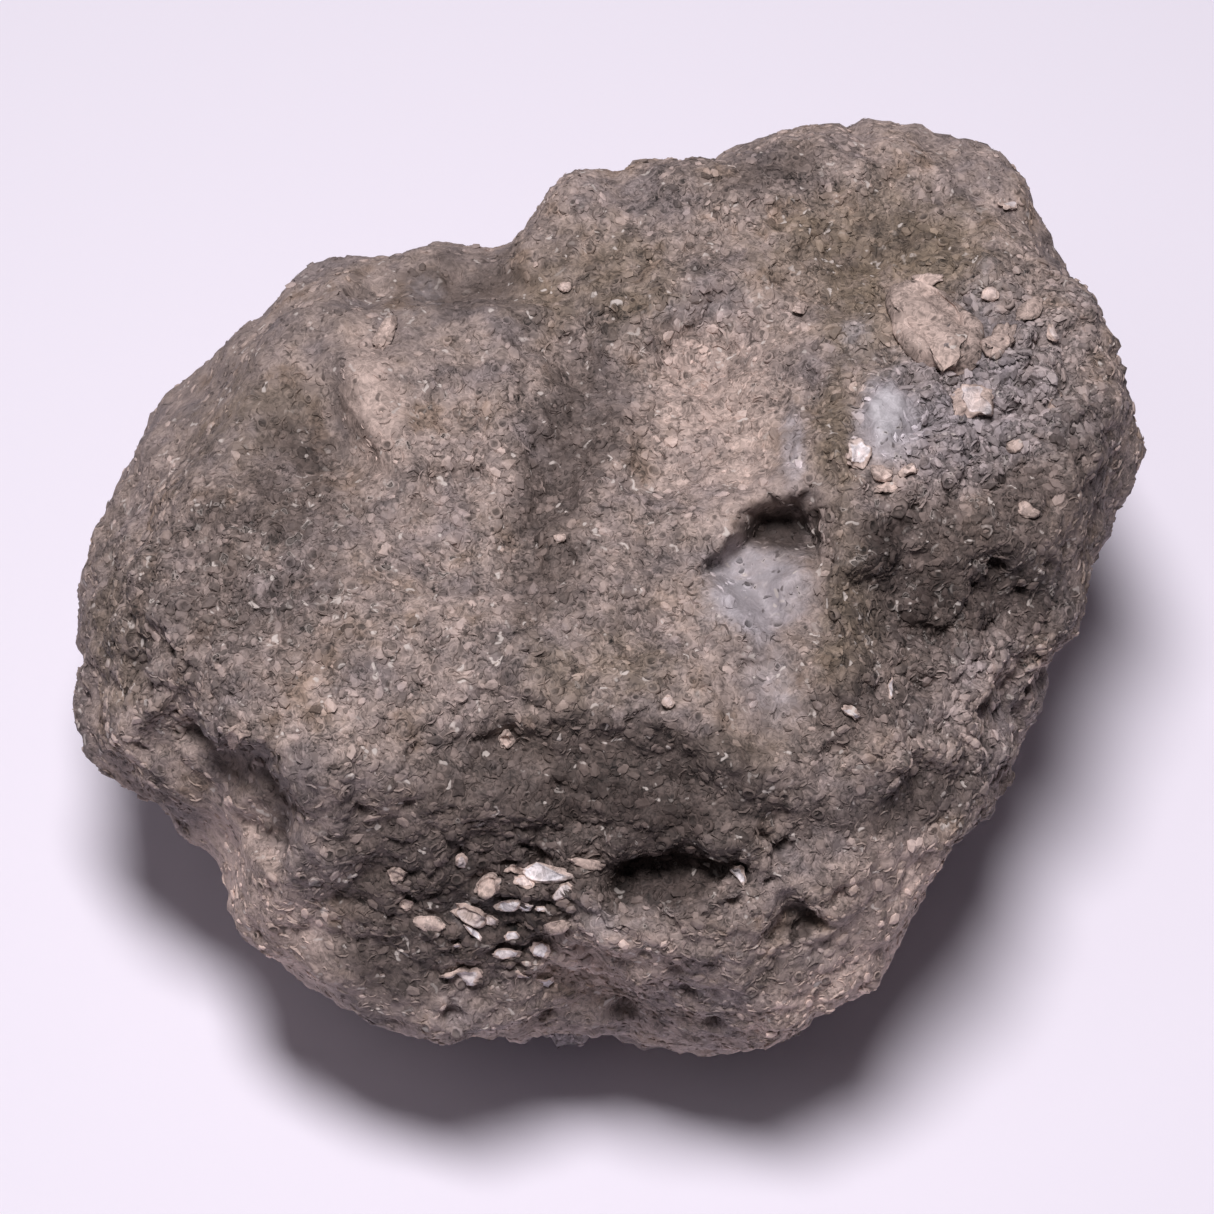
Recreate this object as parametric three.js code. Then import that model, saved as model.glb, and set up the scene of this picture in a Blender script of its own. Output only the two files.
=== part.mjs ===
// A lump of frothy impact glass: rock that a meteorite melted, full of gas bubbles and pale mineral scraps.
// It is one solid stone, about 50 mm long, lying on its flattest side. Units are millimetres, +Z is up.
//
// The stone is worked out in the frame of its main face: U runs to the right, V up the face and W out of it.
// That face leans back from straight up, and the last step turns the stone onto its resting side.
import * as THREE from "three";
import { mergeVertices } from "three/addons/utils/BufferGeometryUtils.js";

const FACE_LEAN_DEG = 30; // from straight up to the face's outward direction
const CENTRE_HEIGHT = 13.6; // the stone's inner centre above the surface that it lies on
const CENTRE_OFFSET = new THREE.Vector2(0.11, 0.34); // puts the middle of the stone's plan on the origin

const GRID_STEPS = 28; // squares along each edge of the cube that is blown up into the stone
const GRID_LEAD = 0.3; // how far that grid crowds towards the face, where the relief is
const FINEST_SIDE = 1.3; // the relief's steepest side, as wide as the grid can carry
const SETTLE = 0.5; // how far each corner then moves to the middle of its neighbours, which evens steep sides
const MAP_DISTANCE = 190; // the relief is laid out as seen from this far in front of the centre

// The body: a rounded block whose widest belt is OUTLINE, closed by a front and a back dome.
const BODY = { frontDepth: 22, backDepth: 19, squareness: 2.5, beltSlope: 0.22, beltScale: 0.985 };

// Broken faces that cut the body back: outward direction (right, away, up) and distance from the centre.
const BREAKS = [
  { name: "top", out: [0.03, 0.04, 1], distance: 13.6 },
  { name: "rest", out: [0, 0, -1], distance: 13.8 },
  { name: "front slope", out: [-0.05, -0.94, 0.3], distance: 20.6 },
  { name: "right shoulder", out: [0.62, -0.45, 0.6], distance: 20.8 },
  { name: "left shoulder", out: [-0.72, 0.1, 0.68], distance: 21.4 },
  { name: "back", out: [0.1, 0.97, -0.2], distance: 21.6 },
  { name: "back left", out: [-0.62, 0.62, -0.45], distance: 21.0 },
  { name: "back right", out: [0.75, 0.42, -0.5], distance: 21.2 },
  { name: "under front", out: [0.1, -0.72, -0.7], distance: 21.8 },
  { name: "under left", out: [-0.75, -0.2, -0.62], distance: 22.4 },
];
const EDGE_SHARPNESS = 14; // how tightly those faces meet

// Shallow bowls knocked out of the hidden sides: direction (right, away, up), half angle and depth.
const BITES = [
  { name: "back", toward: [0.15, 0.95, -0.25], halfAngle: 0.36, depth: 1.7 },
  { name: "back left", toward: [-0.75, 0.62, -0.2], halfAngle: 0.27, depth: 1.5 },
  { name: "back right", toward: [0.78, 0.6, -0.1], halfAngle: 0.24, depth: 1.3 },
  { name: "right", toward: [0.94, 0.05, -0.42], halfAngle: 0.26, depth: 1.4 },
  { name: "under right", toward: [0.55, 0.35, -0.78], halfAngle: 0.2, depth: 0.9 },
  { name: "left", toward: [-0.86, -0.1, -0.5], halfAngle: 0.24, depth: 1.2 },
  { name: "under back", toward: [-0.3, 0.7, -0.66], halfAngle: 0.24, depth: 1.1 },
  { name: "under front left", toward: [-0.42, -0.6, -0.68], halfAngle: 0.22, depth: 1.2 },
  { name: "under front right", toward: [0.42, -0.62, -0.64], halfAngle: 0.26, depth: 1.3 },
];

// The belt, seen square to the face: points (right, up) from the centre, anticlockwise from the right.
const OUTLINE = [
  [24.8, 7.5], [24.6, 9.2], [24.0, 11.2], [22.9, 14.0], [21.8, 15.4], [20.8, 16.1],
  [20.6, 17.4], [20.0, 19.0], [18.9, 20.3], [17.6, 21.1], [16.2, 21.9], [15.3, 22.0],
  [14.7, 22.7], [13.8, 22.8], [12.9, 22.4], [10.8, 22.5], [8.5, 22.1], [6.1, 21.6],
  [4.5, 20.7], [2.1, 20.6], [0.6, 20.1], [-1.6, 20.3], [-2.6, 19.5], [-3.7, 18.0],
  [-4.8, 16.7], [-6.2, 16.4], [-8.2, 16.8], [-9.9, 16.4], [-12.2, 16.2], [-14.2, 15.4],
  [-15.1, 14.0], [-16.4, 12.8], [-17.0, 13.2], [-18.0, 12.1], [-19.3, 10.9], [-21.6, 9.2],
  [-22.4, 7.2], [-23.6, 4.5], [-24.4, 2.4], [-25.2, -0.2], [-25.1, -2.6], [-25.3, -4.9],
  [-25.0, -6.6], [-23.8, -7.9], [-21.7, -9.4], [-20.8, -9.9], [-19.4, -11.6], [-17.8, -13.5],
  [-17.2, -15.1], [-15.4, -16.7], [-14.2, -18.2], [-12.2, -19.3], [-9.4, -20.3], [-6.1, -20.6],
  [-2.4, -20.6], [0.2, -20.4], [2.4, -21.0], [5.2, -21.4], [8.0, -20.9], [9.2, -20.4],
  [10.0, -19.5], [11.8, -19.0], [13.0, -17.6], [13.9, -16.4], [14.2, -15.2], [15.4, -14.0],
  [16.5, -11.5], [17.5, -11.0], [18.7, -9.2], [19.7, -6.5], [20.6, -4.3], [21.1, -2.6],
  [22.1, -0.8], [22.9, 1.8], [24.3, 4.9],
];

// Rounded lumps (rise above 0) and hollows (below 0) of the face: centre, half sizes, turn in degrees.
const LUMPS = [
  { name: "clast-rich lobe", at: [16.5, 9.0], half: [8.0, 7.5], turn: 0, rise: 1.9 },
  { name: "big pale clast", at: [15.2, 12.9], half: [2.5, 1.6], turn: -38, rise: 0.7 },
  { name: "small pale clast", at: [16.9, 9.3], half: [1.1, 0.9], turn: 0, rise: 0.5 },
  { name: "grey-white clast", at: [13.0, 8.8], half: [1.3, 2.0], turn: 8, rise: 0.5 },
  { name: "hollow under the lobe", at: [13.8, 2.2], half: [3.6, 1.9], turn: -10, rise: -2.4 },
  { name: "hollow right of the wall", at: [12.8, -1.9], half: [1.4, 1.4], turn: 0, rise: -1.2 },
  { name: "hollow by the right rim", at: [20.2, 0.6], half: [1.5, 1.1], turn: 20, rise: -1.8 },
  { name: "slot between the two", at: [17.4, 1.5], half: [1.8, 0.8], turn: -5, rise: -0.9 },
  { name: "hollow left of the pale ridge", at: [-14.0, 7.3], half: [2.8, 2.5], turn: -20, rise: -2.2 },
  { name: "brown dip near the top", at: [12.1, 17.3], half: [1.8, 1.2], turn: 10, rise: -0.9 },
  { name: "bulge below the front ledge", at: [3.8, -16.8], half: [8.0, 3.2], turn: 0, rise: 1.2 },
  { name: "pale block in that bulge", at: [-0.6, -15.4], half: [2.6, 1.6], turn: 0, rise: 0.6 },
  { name: "left cheek", at: [-20.5, 1.5], half: [4.5, 7.0], turn: 10, rise: 0.7 },
  { name: "top knob", at: [-1.6, 19.6], half: [1.7, 1.6], turn: 0, rise: 0.9 },
  { name: "knob on the top right", at: [13.6, 21.8], half: [1.4, 1.3], turn: 0, rise: 0.8 },
  { name: "hollow facet on the lower right", at: [15.0, -9.6], half: [3.4, 1.9], turn: 25, rise: -1.0 },
  { name: "hollow in the lower left", at: [-9.5, -12.5], half: [4.0, 2.4], turn: -10, rise: -0.8 },
];

// Crests (rise above 0) and grooves (below 0) along a line of points. Walking along the line, the relief
// dies away over `left` mm on the left hand and `right` mm on the right, so a small number is a steep side.
const CRESTS = [
  {
    name: "broad pale channel",
    line: [[3.6, 14.2], [5.0, 10.0], [6.2, 6.0], [6.8, 2.0]],
    left: 2.0, right: 3.6, rise: -1.8,
  },
  {
    name: "channel below the cave",
    line: [[7.0, 2.0], [7.6, -2.0], [7.6, -5.0], [7.0, -8.6]],
    left: 1.9, right: 2.8, rise: -1.3,
  },
  {
    name: "arched cave in the channel",
    line: [[4.0, 0.9], [5.4, 3.0], [7.0, 4.0], [8.7, 4.0], [10.0, 2.2]],
    left: 0.35, right: 4.6, rise: -2.4,
  },
  {
    name: "pocket under its arch",
    line: [[5.6, 2.8], [7.2, 3.8], [8.7, 3.8], [9.6, 2.6]],
    left: 0.3, right: 1.2, rise: -1.2,
  },
  {
    name: "wall on the right of the channel",
    line: [[9.0, 10.5], [9.4, 6.6], [10.4, 3.0], [10.9, 0.0], [11.0, -3.0], [10.4, -7.0]],
    left: 1.6, right: 0.7, rise: 1.1,
  },
  {
    name: "middle groove",
    line: [[-0.6, 14.4], [-1.7, 8.5], [-3.3, 2.6], [-3.9, -1.6]],
    left: 1.0, right: 2.0, rise: -1.5,
  },
  {
    name: "short groove beside it",
    line: [[-6.2, 9.4], [-6.7, 6.6], [-6.9, 3.6]],
    left: 0.8, right: 0.9, rise: -0.7,
  },
  {
    name: "pale ridge",
    line: [[-9.8, 13.6], [-11.8, 10.6], [-11.7, 8.0], [-10.7, 4.6]],
    left: 2.4, right: 0.9, rise: 1.8,
  },
  {
    name: "drop behind the left rim",
    line: [[-13.0, 14.2], [-9.9, 14.2], [-7.5, 14.1], [-5.6, 15.6], [-4.2, 17.4], [-3.0, 20.0]],
    left: 3.4, right: 0.45, rise: -3.4,
  },
  {
    name: "scoop in the lower left",
    line: [[-20.2, -4.0], [-18.9, -6.9], [-17.2, -7.4], [-15.8, -8.2], [-15.1, -10.2], [-15.1, -13.4]],
    left: 0.4, right: 3.4, rise: -2.6,
  },
  {
    name: "crease under the left cheek",
    line: [[-23.0, -2.4], [-21.0, -4.2], [-19.0, -7.2]],
    left: 0.6, right: 0.7, rise: -0.7,
  },
  {
    name: "band under the front ledge",
    line: [[-10.5, -8.0], [-5.0, -7.8], [-0.5, -7.9], [3.8, -9.7], [8.4, -10.2], [12.0, -9.6]],
    left: 0.8, right: 3.2, rise: -1.7,
  },
  {
    name: "arched cave in the front",
    line: [[-0.5, -14.0], [1.6, -12.7], [3.5, -11.8], [4.9, -12.0], [5.6, -13.6]],
    left: 0.35, right: 1.6, rise: -2.6,
  },
  {
    name: "small cave in the front",
    line: [[7.4, -16.4], [7.9, -14.7], [8.7, -14.0], [9.4, -14.7], [9.9, -16.4]],
    left: 0.3, right: 1.0, rise: -2.4,
  },
  {
    name: "upper ledge on the lower right",
    line: [[22.4, -0.6], [20.2, -2.8], [18.0, -4.8], [16.6, -6.6], [13.6, -7.3], [10.6, -8.2]],
    left: 0.6, right: 2.4, rise: 1.1,
  },
  {
    name: "lower ledge on the lower right",
    line: [[20.4, -6.6], [17.6, -9.6], [14.6, -11.4], [10.4, -11.8]],
    left: 0.9, right: 1.8, rise: 0.6,
  },
  {
    name: "pale rim on the lower left",
    line: [[-18.0, -14.0], [-14.0, -17.2], [-10.5, -19.2], [-5.5, -20.2]],
    left: 0.8, right: 0.8, rise: 0.6,
  },
  {
    name: "curved streak near the top",
    line: [[3.2, 17.4], [8.0, 19.3], [13.4, 20.4]],
    left: 0.6, right: 1.2, rise: 0.5,
  },
  {
    name: "streak below it",
    line: [[5.6, 15.6], [9.2, 17.4], [12.8, 18.9]],
    left: 0.5, right: 0.9, rise: 0.35,
  },
];
const CREST_TAPER = 0.22; // share of a line's length over which the relief sinks to nothing at each end

// The relief's places are pushed about a little, so that no line runs quite evenly.
const RELIEF_WARP = { cell: 3.4, shift: 0.55, pattern: 61 };

// Rough ground laid over everything: size of its swells, height and a number that sets the pattern.
const ROUGHNESS = [
  { cell: 8, height: 1.2, pattern: 3 },
  { cell: 4.2, height: 0.7, pattern: 8 },
];
const CALM_AT_BELT = 0.75; // share of the roughness that is held back along the outline
const CALM_UNDER = 0.85; // and on the side that the stone rests on

const lean = THREE.MathUtils.degToRad(FACE_LEAN_DEG);
const { clamp, lerp, smoothstep } = THREE.MathUtils;

// The belt's radius at an angle round the face, straight between the outline's points.
const outlinePolar = OUTLINE.map(([right, up]) => ({
  angle: Math.atan2(up, right),
  radius: Math.hypot(right, up),
})).sort((a, b) => a.angle - b.angle);

function outlineRadius(angle) {
  const turned = Math.atan2(Math.sin(angle), Math.cos(angle));
  const next = outlinePolar.findIndex((point) => point.angle > turned);
  const b = outlinePolar[next < 0 ? 0 : next];
  const a = outlinePolar[(next <= 0 ? outlinePolar.length : next) - 1];
  const span = (b.angle - a.angle + 2 * Math.PI) % (2 * Math.PI);
  const gone = (turned - a.angle + 2 * Math.PI) % (2 * Math.PI);
  return lerp(a.radius, b.radius, gone / span);
}

// The same radius smoothed over neighbouring angles, more so away from the belt, where small notches end.
const SMOOTHING = { taps: 4, atBelt: 0.01, atPole: 0.14 };

function beltRadius(angle, poleShare) {
  const spread = lerp(SMOOTHING.atBelt, SMOOTHING.atPole, smoothstep(poleShare, 0.15, 0.85));
  let total = 0;
  let weights = 0;
  for (let tap = -SMOOTHING.taps; tap <= SMOOTHING.taps; tap++) {
    const weight = Math.exp(-((tap / SMOOTHING.taps) ** 2) * 2);
    total += weight * outlineRadius(angle + tap * spread);
    weights += weight;
  }
  const seen = (total / weights) * BODY.beltScale;
  return seen * (1 + (BODY.beltSlope * seen * Math.sin(angle)) / MAP_DISTANCE);
}

// From the face's frame (right, up the face, out of it) to the standing frame (right, away, up), and back.
const toStanding = new THREE.Matrix4().makeRotationX(lean);

// Distance from the centre to the body with its broken faces and bites. The direction is in the face's frame.
function bodyRadius(direction) {
  const deep = direction.z + BODY.beltSlope * direction.y;
  const across = Math.hypot(direction.x, direction.y);
  const poleShare = Math.abs(deep) / Math.hypot(across, deep);
  const radius = beltRadius(Math.atan2(direction.y, direction.x), poleShare);
  const depth = deep > 0 ? BODY.frontDepth : BODY.backDepth;
  const n = BODY.squareness;
  const body = ((across / radius) ** n + (Math.abs(deep) / depth) ** n) ** (1 / n);
  const standing = direction.clone().applyMatrix4(toStanding);
  let sum = body ** EDGE_SHARPNESS;
  for (const face of BREAKS) {
    const facing = standing.dot(new THREE.Vector3(...face.out).normalize()) / face.distance;
    sum += Math.max(0, facing) ** EDGE_SHARPNESS;
  }
  let distance = sum ** (-1 / EDGE_SHARPNESS);
  for (const { toward, halfAngle, depth } of BITES)
    distance -= depth * Math.exp(-((standing.angleTo(new THREE.Vector3(...toward)) / halfAngle) ** 3));
  return distance;
}

// One lump or hollow: a smooth hill over an ellipse, flat-topped and gone at its rim.
function lumpRise({ at, half, turn, rise }, right, up) {
  const angle = THREE.MathUtils.degToRad(turn);
  const x = right - at[0];
  const y = up - at[1];
  const along = (x * Math.cos(angle) + y * Math.sin(angle)) / half[0];
  const over = (y * Math.cos(angle) - x * Math.sin(angle)) / half[1];
  return rise * Math.exp(-((along * along + over * over) ** 1.5));
}

// One crest or groove: it falls off on each side of its line at that side's pace, and towards its two ends.
function crestRise({ line, left, right: rightSide, rise }, right, up) {
  let nearest = Infinity;
  let side = 0;
  let run = 0;
  let whole = 0;
  for (let i = 0; i + 1 < line.length; i++) {
    const [ax, ay] = line[i];
    const [bx, by] = line[i + 1];
    const dx = bx - ax;
    const dy = by - ay;
    const length = Math.hypot(dx, dy);
    const share = clamp(((right - ax) * dx + (up - ay) * dy) / (length * length), 0, 1);
    const gap = Math.hypot(right - ax - share * dx, up - ay - share * dy);
    if (gap < nearest) {
      nearest = gap;
      side = dx * (up - ay) - dy * (right - ax);
      run = whole + share * length;
    }
    whole += length;
  }
  const taper = smoothstep(Math.min(run, whole - run), 0, CREST_TAPER * whole);
  const reach = Math.max(FINEST_SIDE, side > 0 ? left : rightSide);
  return rise * taper * Math.exp(-((nearest / reach) ** 1.6));
}

// A whole number for each corner of a lattice, scrambled so that neighbours have nothing in common.
function scramble(x, y, z, pattern) {
  let mixed = Math.imul(x, 374761393) + Math.imul(y, 668265263);
  mixed += Math.imul(z, 2246822519) + Math.imul(pattern, 3266489917);
  mixed = Math.imul(mixed ^ (mixed >>> 15), 2246822519);
  mixed = Math.imul(mixed ^ (mixed >>> 13), 3266489917);
  return mixed ^ (mixed >>> 16);
}

// Smooth noise, about -1 to 1: each lattice corner has a slope of its own, and they blend across the cell.
function swell(point, cell, pattern) {
  const place = point.toArray().map((side) => side / cell);
  const low = place.map(Math.floor);
  const inside = place.map((side, axis) => side - low[axis]);
  const fade = inside.map((f) => f * f * f * (f * (f * 6 - 15) + 10));
  let total = 0;
  for (const corner of [0, 1, 2, 3, 4, 5, 6, 7]) {
    const ends = [corner & 1, (corner >> 1) & 1, corner >> 2];
    const number = scramble(low[0] + ends[0], low[1] + ends[1], low[2] + ends[2], pattern);
    let weight = 1;
    let slope = 0;
    for (const axis of [0, 1, 2]) {
      weight *= ends[axis] ? fade[axis] : 1 - fade[axis];
      slope += ((((number >>> (10 * axis)) & 1023) / 1023) * 2 - 1) * (inside[axis] - ends[axis]);
    }
    total += weight * slope;
  }
  return total * 1.6;
}

// A point of the finished surface, in the face's frame, for a direction from the centre.
function stonePoint(direction) {
  const point = direction.clone().multiplyScalar(bodyRadius(direction));
  const inFront = point.z + BODY.beltSlope * point.y;

  const eye = new THREE.Vector3(0, 0, MAP_DISTANCE);
  const spread = MAP_DISTANCE / (MAP_DISTANCE - point.z);
  const { cell, shift, pattern } = RELIEF_WARP;
  const right = point.x * spread + shift * swell(point, cell, pattern);
  const up = point.y * spread + shift * swell(point, cell, pattern + 1);
  let rise = 0;
  for (const lump of LUMPS) rise += lumpRise(lump, right, up);
  for (const crest of CRESTS) rise += crestRise(crest, right, up);
  point.addScaledVector(eye.sub(point).normalize(), rise * smoothstep(inFront, 0, 2.4));

  const under = direction.clone().applyMatrix4(toStanding).z * -1;
  let calm = 1 - CALM_AT_BELT * Math.exp(-((inFront / 3) ** 2));
  calm *= 1 - CALM_UNDER * smoothstep(under, 0.7, 0.92);
  let rough = 0;
  for (const { cell, height, pattern } of ROUGHNESS) rough += height * swell(point, cell, pattern);
  return point.addScaledVector(direction, calm * rough);
}

// What would sink into the surface below is worn flat there.
function wornFlat(point) {
  const height = point.y * Math.sin(lean) + point.z * Math.cos(lean);
  return height < -CENTRE_HEIGHT ? point.multiplyScalar(-CENTRE_HEIGHT / height) : point;
}

// A cube's grid blown up: evenly spread directions, each carried out to the stone's surface.
function stoneGeometry() {
  const cube = new THREE.BoxGeometry(2, 2, 2, GRID_STEPS, GRID_STEPS, GRID_STEPS);
  cube.deleteAttribute("normal");
  cube.deleteAttribute("uv");
  const skin = mergeVertices(cube, 1e-4);
  const positions = skin.getAttribute("position");
  const points = Array.from({ length: positions.count }, (_, i) => {
    const side = new THREE.Vector3().fromBufferAttribute(positions, i).toArray();
    const even = new THREE.Vector3(...side.map((share) => Math.tan((share * Math.PI) / 4))).normalize();
    even.z += GRID_LEAD;
    return stonePoint(even.normalize());
  });

  const sums = points.map(() => new THREE.Vector3());
  const counts = points.map(() => 0);
  const corners = skin.index.array;
  corners.forEach((corner, i) => {
    const next = corners[i % 3 === 2 ? i - 2 : i + 1];
    sums[corner].add(points[next]);
    counts[corner] += 1;
  });
  points.forEach((point, i) => {
    const settled = point.clone().lerp(sums[i].divideScalar(counts[i]), SETTLE);
    positions.setXYZ(i, ...wornFlat(settled).toArray());
  });
  skin.computeVertexNormals();
  return skin;
}

const material = new THREE.MeshStandardMaterial({
  name: "frothy glass",
  color: new THREE.Color(0.47, 0.42, 0.39),
  roughness: 0.85,
  metalness: 0,
});

const stone = new THREE.Mesh(stoneGeometry(), material);
stone.name = "impact_glass";
stone.rotation.x = lean;
stone.position.set(CENTRE_OFFSET.x, CENTRE_OFFSET.y, CENTRE_HEIGHT);

const group = new THREE.Group();
group.name = "impact glass stone";
group.add(stone);

export default group;
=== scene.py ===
import math

import bpy
import numpy as np
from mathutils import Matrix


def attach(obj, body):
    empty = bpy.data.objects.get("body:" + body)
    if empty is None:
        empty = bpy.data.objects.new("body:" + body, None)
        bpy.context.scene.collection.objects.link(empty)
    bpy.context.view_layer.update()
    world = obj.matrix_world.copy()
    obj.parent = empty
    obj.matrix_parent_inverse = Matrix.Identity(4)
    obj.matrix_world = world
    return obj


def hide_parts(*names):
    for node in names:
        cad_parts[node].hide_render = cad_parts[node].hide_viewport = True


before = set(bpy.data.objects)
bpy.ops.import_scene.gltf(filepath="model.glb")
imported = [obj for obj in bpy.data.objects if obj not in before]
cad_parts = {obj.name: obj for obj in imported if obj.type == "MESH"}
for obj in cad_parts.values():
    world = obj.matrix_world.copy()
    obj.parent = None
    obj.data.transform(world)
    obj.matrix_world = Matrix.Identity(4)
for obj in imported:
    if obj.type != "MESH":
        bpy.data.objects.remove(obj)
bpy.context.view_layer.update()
stoneNode = "impact_glass"
stoneBody = "root"
toMetres = 0.001

# The face's frame has U to the right, V up the face and W out of it. Its origin is the stone's centre.
face = {
    "lean": math.radians(30),  # from straight up to the face's outward direction
    "centre": (0.11, 0.34, 13.6),  # the stone's centre in the standing frame
    "mapDistance": 190.0,  # the relief is laid out as seen from this far in front
}


# Turns points from the face's frame to the standing frame: a turn about X, then a shift to the centre.
def standing(points):
    c, s = math.cos(face["lean"]), math.sin(face["lean"])
    u, v, w = points.T
    return np.stack([u, v * c - w * s, v * s + w * c], axis=1) + np.array(face["centre"])


cameraSettings = {
    "frameWidth": 57.06,  # mm of the face that the render spans
    "aim": (-0.14, -0.33),  # middle of the render, right of and above the stone's centre
    "sensor": 36.0,  # mm
    "clip": (0.01, 10),  # metres
}


# The eye is mapDistance out from the aim along W. The lens spans frameWidth at that distance: the focal
# length is the sensor's width times the distance over frameWidth.
def makeCamera(s):
    data = bpy.data.cameras.new("camera")
    data.sensor_width = s["sensor"]
    data.lens = s["sensor"] * face["mapDistance"] / s["frameWidth"]
    data.clip_start, data.clip_end = s["clip"]
    camera = bpy.data.objects.new("camera", data)
    bpy.context.scene.collection.objects.link(camera)
    eye = standing(np.array([[s["aim"][0], s["aim"][1], face["mapDistance"]]]))[0]
    camera.location = eye * toMetres
    camera.rotation_euler = (face["lean"], 0, 0)
    bpy.context.scene.camera = camera


makeCamera(cameraSettings)


# Each vector over its own length.
def unit(vectors):
    return vectors / np.linalg.norm(vectors, axis=-1, keepdims=True)


# 0 at low and 1 at high, with t squared times (3 - 2t) between them.
def smoothStep(x, low, high):
    t = np.clip((x - low) / (high - low), 0, 1)
    return t * t * (3 - 2 * t)


# A whole number for each lattice corner, scrambled so that neighbours have nothing in common.
def scramble(corners, seed):
    x, y, z = corners.astype(np.int64).astype(np.uint32).T
    with np.errstate(over="ignore"):
        h = x * np.uint32(374761393) + y * np.uint32(668265263)
        h = h + z * np.uint32(2246822519) + np.uint32(seed) * np.uint32(3266489917)
        h = (h ^ (h >> np.uint32(15))) * np.uint32(2246822519)
        h = (h ^ (h >> np.uint32(13))) * np.uint32(3266489917)
    return h ^ (h >> np.uint32(16))


# Ten bits of a scrambled number, starting at shift, over their largest value: 0 to 1.
def share(numbers, shift=0):
    return ((numbers >> np.uint32(shift)) & np.uint32(1023)) / 1023.0


# Gradient noise, about -1 to 1: a random slope at each lattice corner, blended across the cell by f cubed
# times (6 f squared - 15 f + 10).
def slopes(points, size, seed):
    p = points / size
    low = np.floor(p)
    f = p - low
    fade = f * f * f * (f * (f * 6 - 15) + 10)
    total = np.zeros(len(p))
    for corner in np.ndindex(2, 2, 2):
        offset = np.array(corner, float)
        number = scramble(low + offset, seed)
        gradient = np.stack([share(number, k) * 2 - 1 for k in (0, 10, 20)], axis=1)
        weight = np.prod(np.where(offset > 0, fade, 1 - fade), axis=1)
        total += weight * np.sum(gradient * (f - offset), axis=1)
    return total * 1.6


# Cells: distance to the nearest and second nearest of points scattered one to a lattice cell, in cell
# sizes, and a number from 0 to 1 that belongs to the nearest.
def cells(points, size, seed):
    p = points / size
    low = np.floor(p)
    first = np.full(len(p), 9.0)
    second = np.full(len(p), 9.0)
    owner = np.zeros(len(p))
    for step in np.ndindex(3, 3, 3):
        cell = low + np.array(step, float) - 1
        number = scramble(cell, seed)
        spot = cell + np.stack([share(number, k) for k in (0, 10, 20)], axis=1)
        gap = np.linalg.norm(p - spot, axis=1)
        closer = gap < first
        second = np.where(closer, first, np.minimum(second, gap))
        owner = np.where(closer, share(scramble(cell, seed + 91)), owner)
        first = np.where(closer, gap, first)
    return first, second, owner


# The stone's main form, close to the solid's: two domes that meet at a belt, where the outline is.
body = {
    "frontDepth": 22.0,  # mm from the centre to the top of the front dome
    "backDepth": 19.0,
    "squareness": 2.5,  # 2 is an ellipsoid, more is boxier
    "beltSlope": 0.22,  # how far the belt leans back for each mm up the face
    "beltScale": 0.985,  # share of the outline that the belt takes before its roughness is added
    "edgeSharpness": 14,  # of the edges between broken faces
    "calmAtBelt": 0.75,  # share of the roughness that is lost at the belt
    "calmUnder": 0.85,  # and underneath, where the stone is worn
    "smoothing": (4, 0.01, 0.14),  # taps each way, spread at the belt, spread at the poles
    "reliefFade": 2.4,  # mm in front of the belt over which lumps and crests come in
    "calmWidth": 3.0,  # mm each side of the belt
    "underStart": (0.7, 0.92),  # how far down a direction points where the calm starts and is full
}

breaks = [  # outward direction (right, away, up), distance from the centre
    ((0.03, 0.04, 1), 13.6),
    ((0, 0, -1), 13.8),
    ((-0.05, -0.94, 0.3), 20.6),
    ((0.62, -0.45, 0.6), 20.8),
    ((-0.72, 0.1, 0.68), 21.4),
    ((0.1, 0.97, -0.2), 21.6),
    ((-0.62, 0.62, -0.45), 21.0),
    ((0.75, 0.42, -0.5), 21.2),
    ((0.1, -0.72, -0.7), 21.8),
    ((-0.75, -0.2, -0.62), 22.4),
]

bites = [  # direction (right, away, up), half angle, depth
    ((0.15, 0.95, -0.25), 0.36, 1.7),
    ((-0.75, 0.62, -0.2), 0.27, 1.5),
    ((0.78, 0.6, -0.1), 0.24, 1.3),
    ((0.94, 0.05, -0.42), 0.26, 1.4),
    ((0.55, 0.35, -0.78), 0.2, 0.9),
    ((-0.86, -0.1, -0.5), 0.24, 1.2),
    ((-0.3, 0.7, -0.66), 0.24, 1.1),
    ((-0.42, -0.6, -0.68), 0.22, 0.6),
    ((0.42, -0.62, -0.64), 0.26, 1.8),
]

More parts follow.
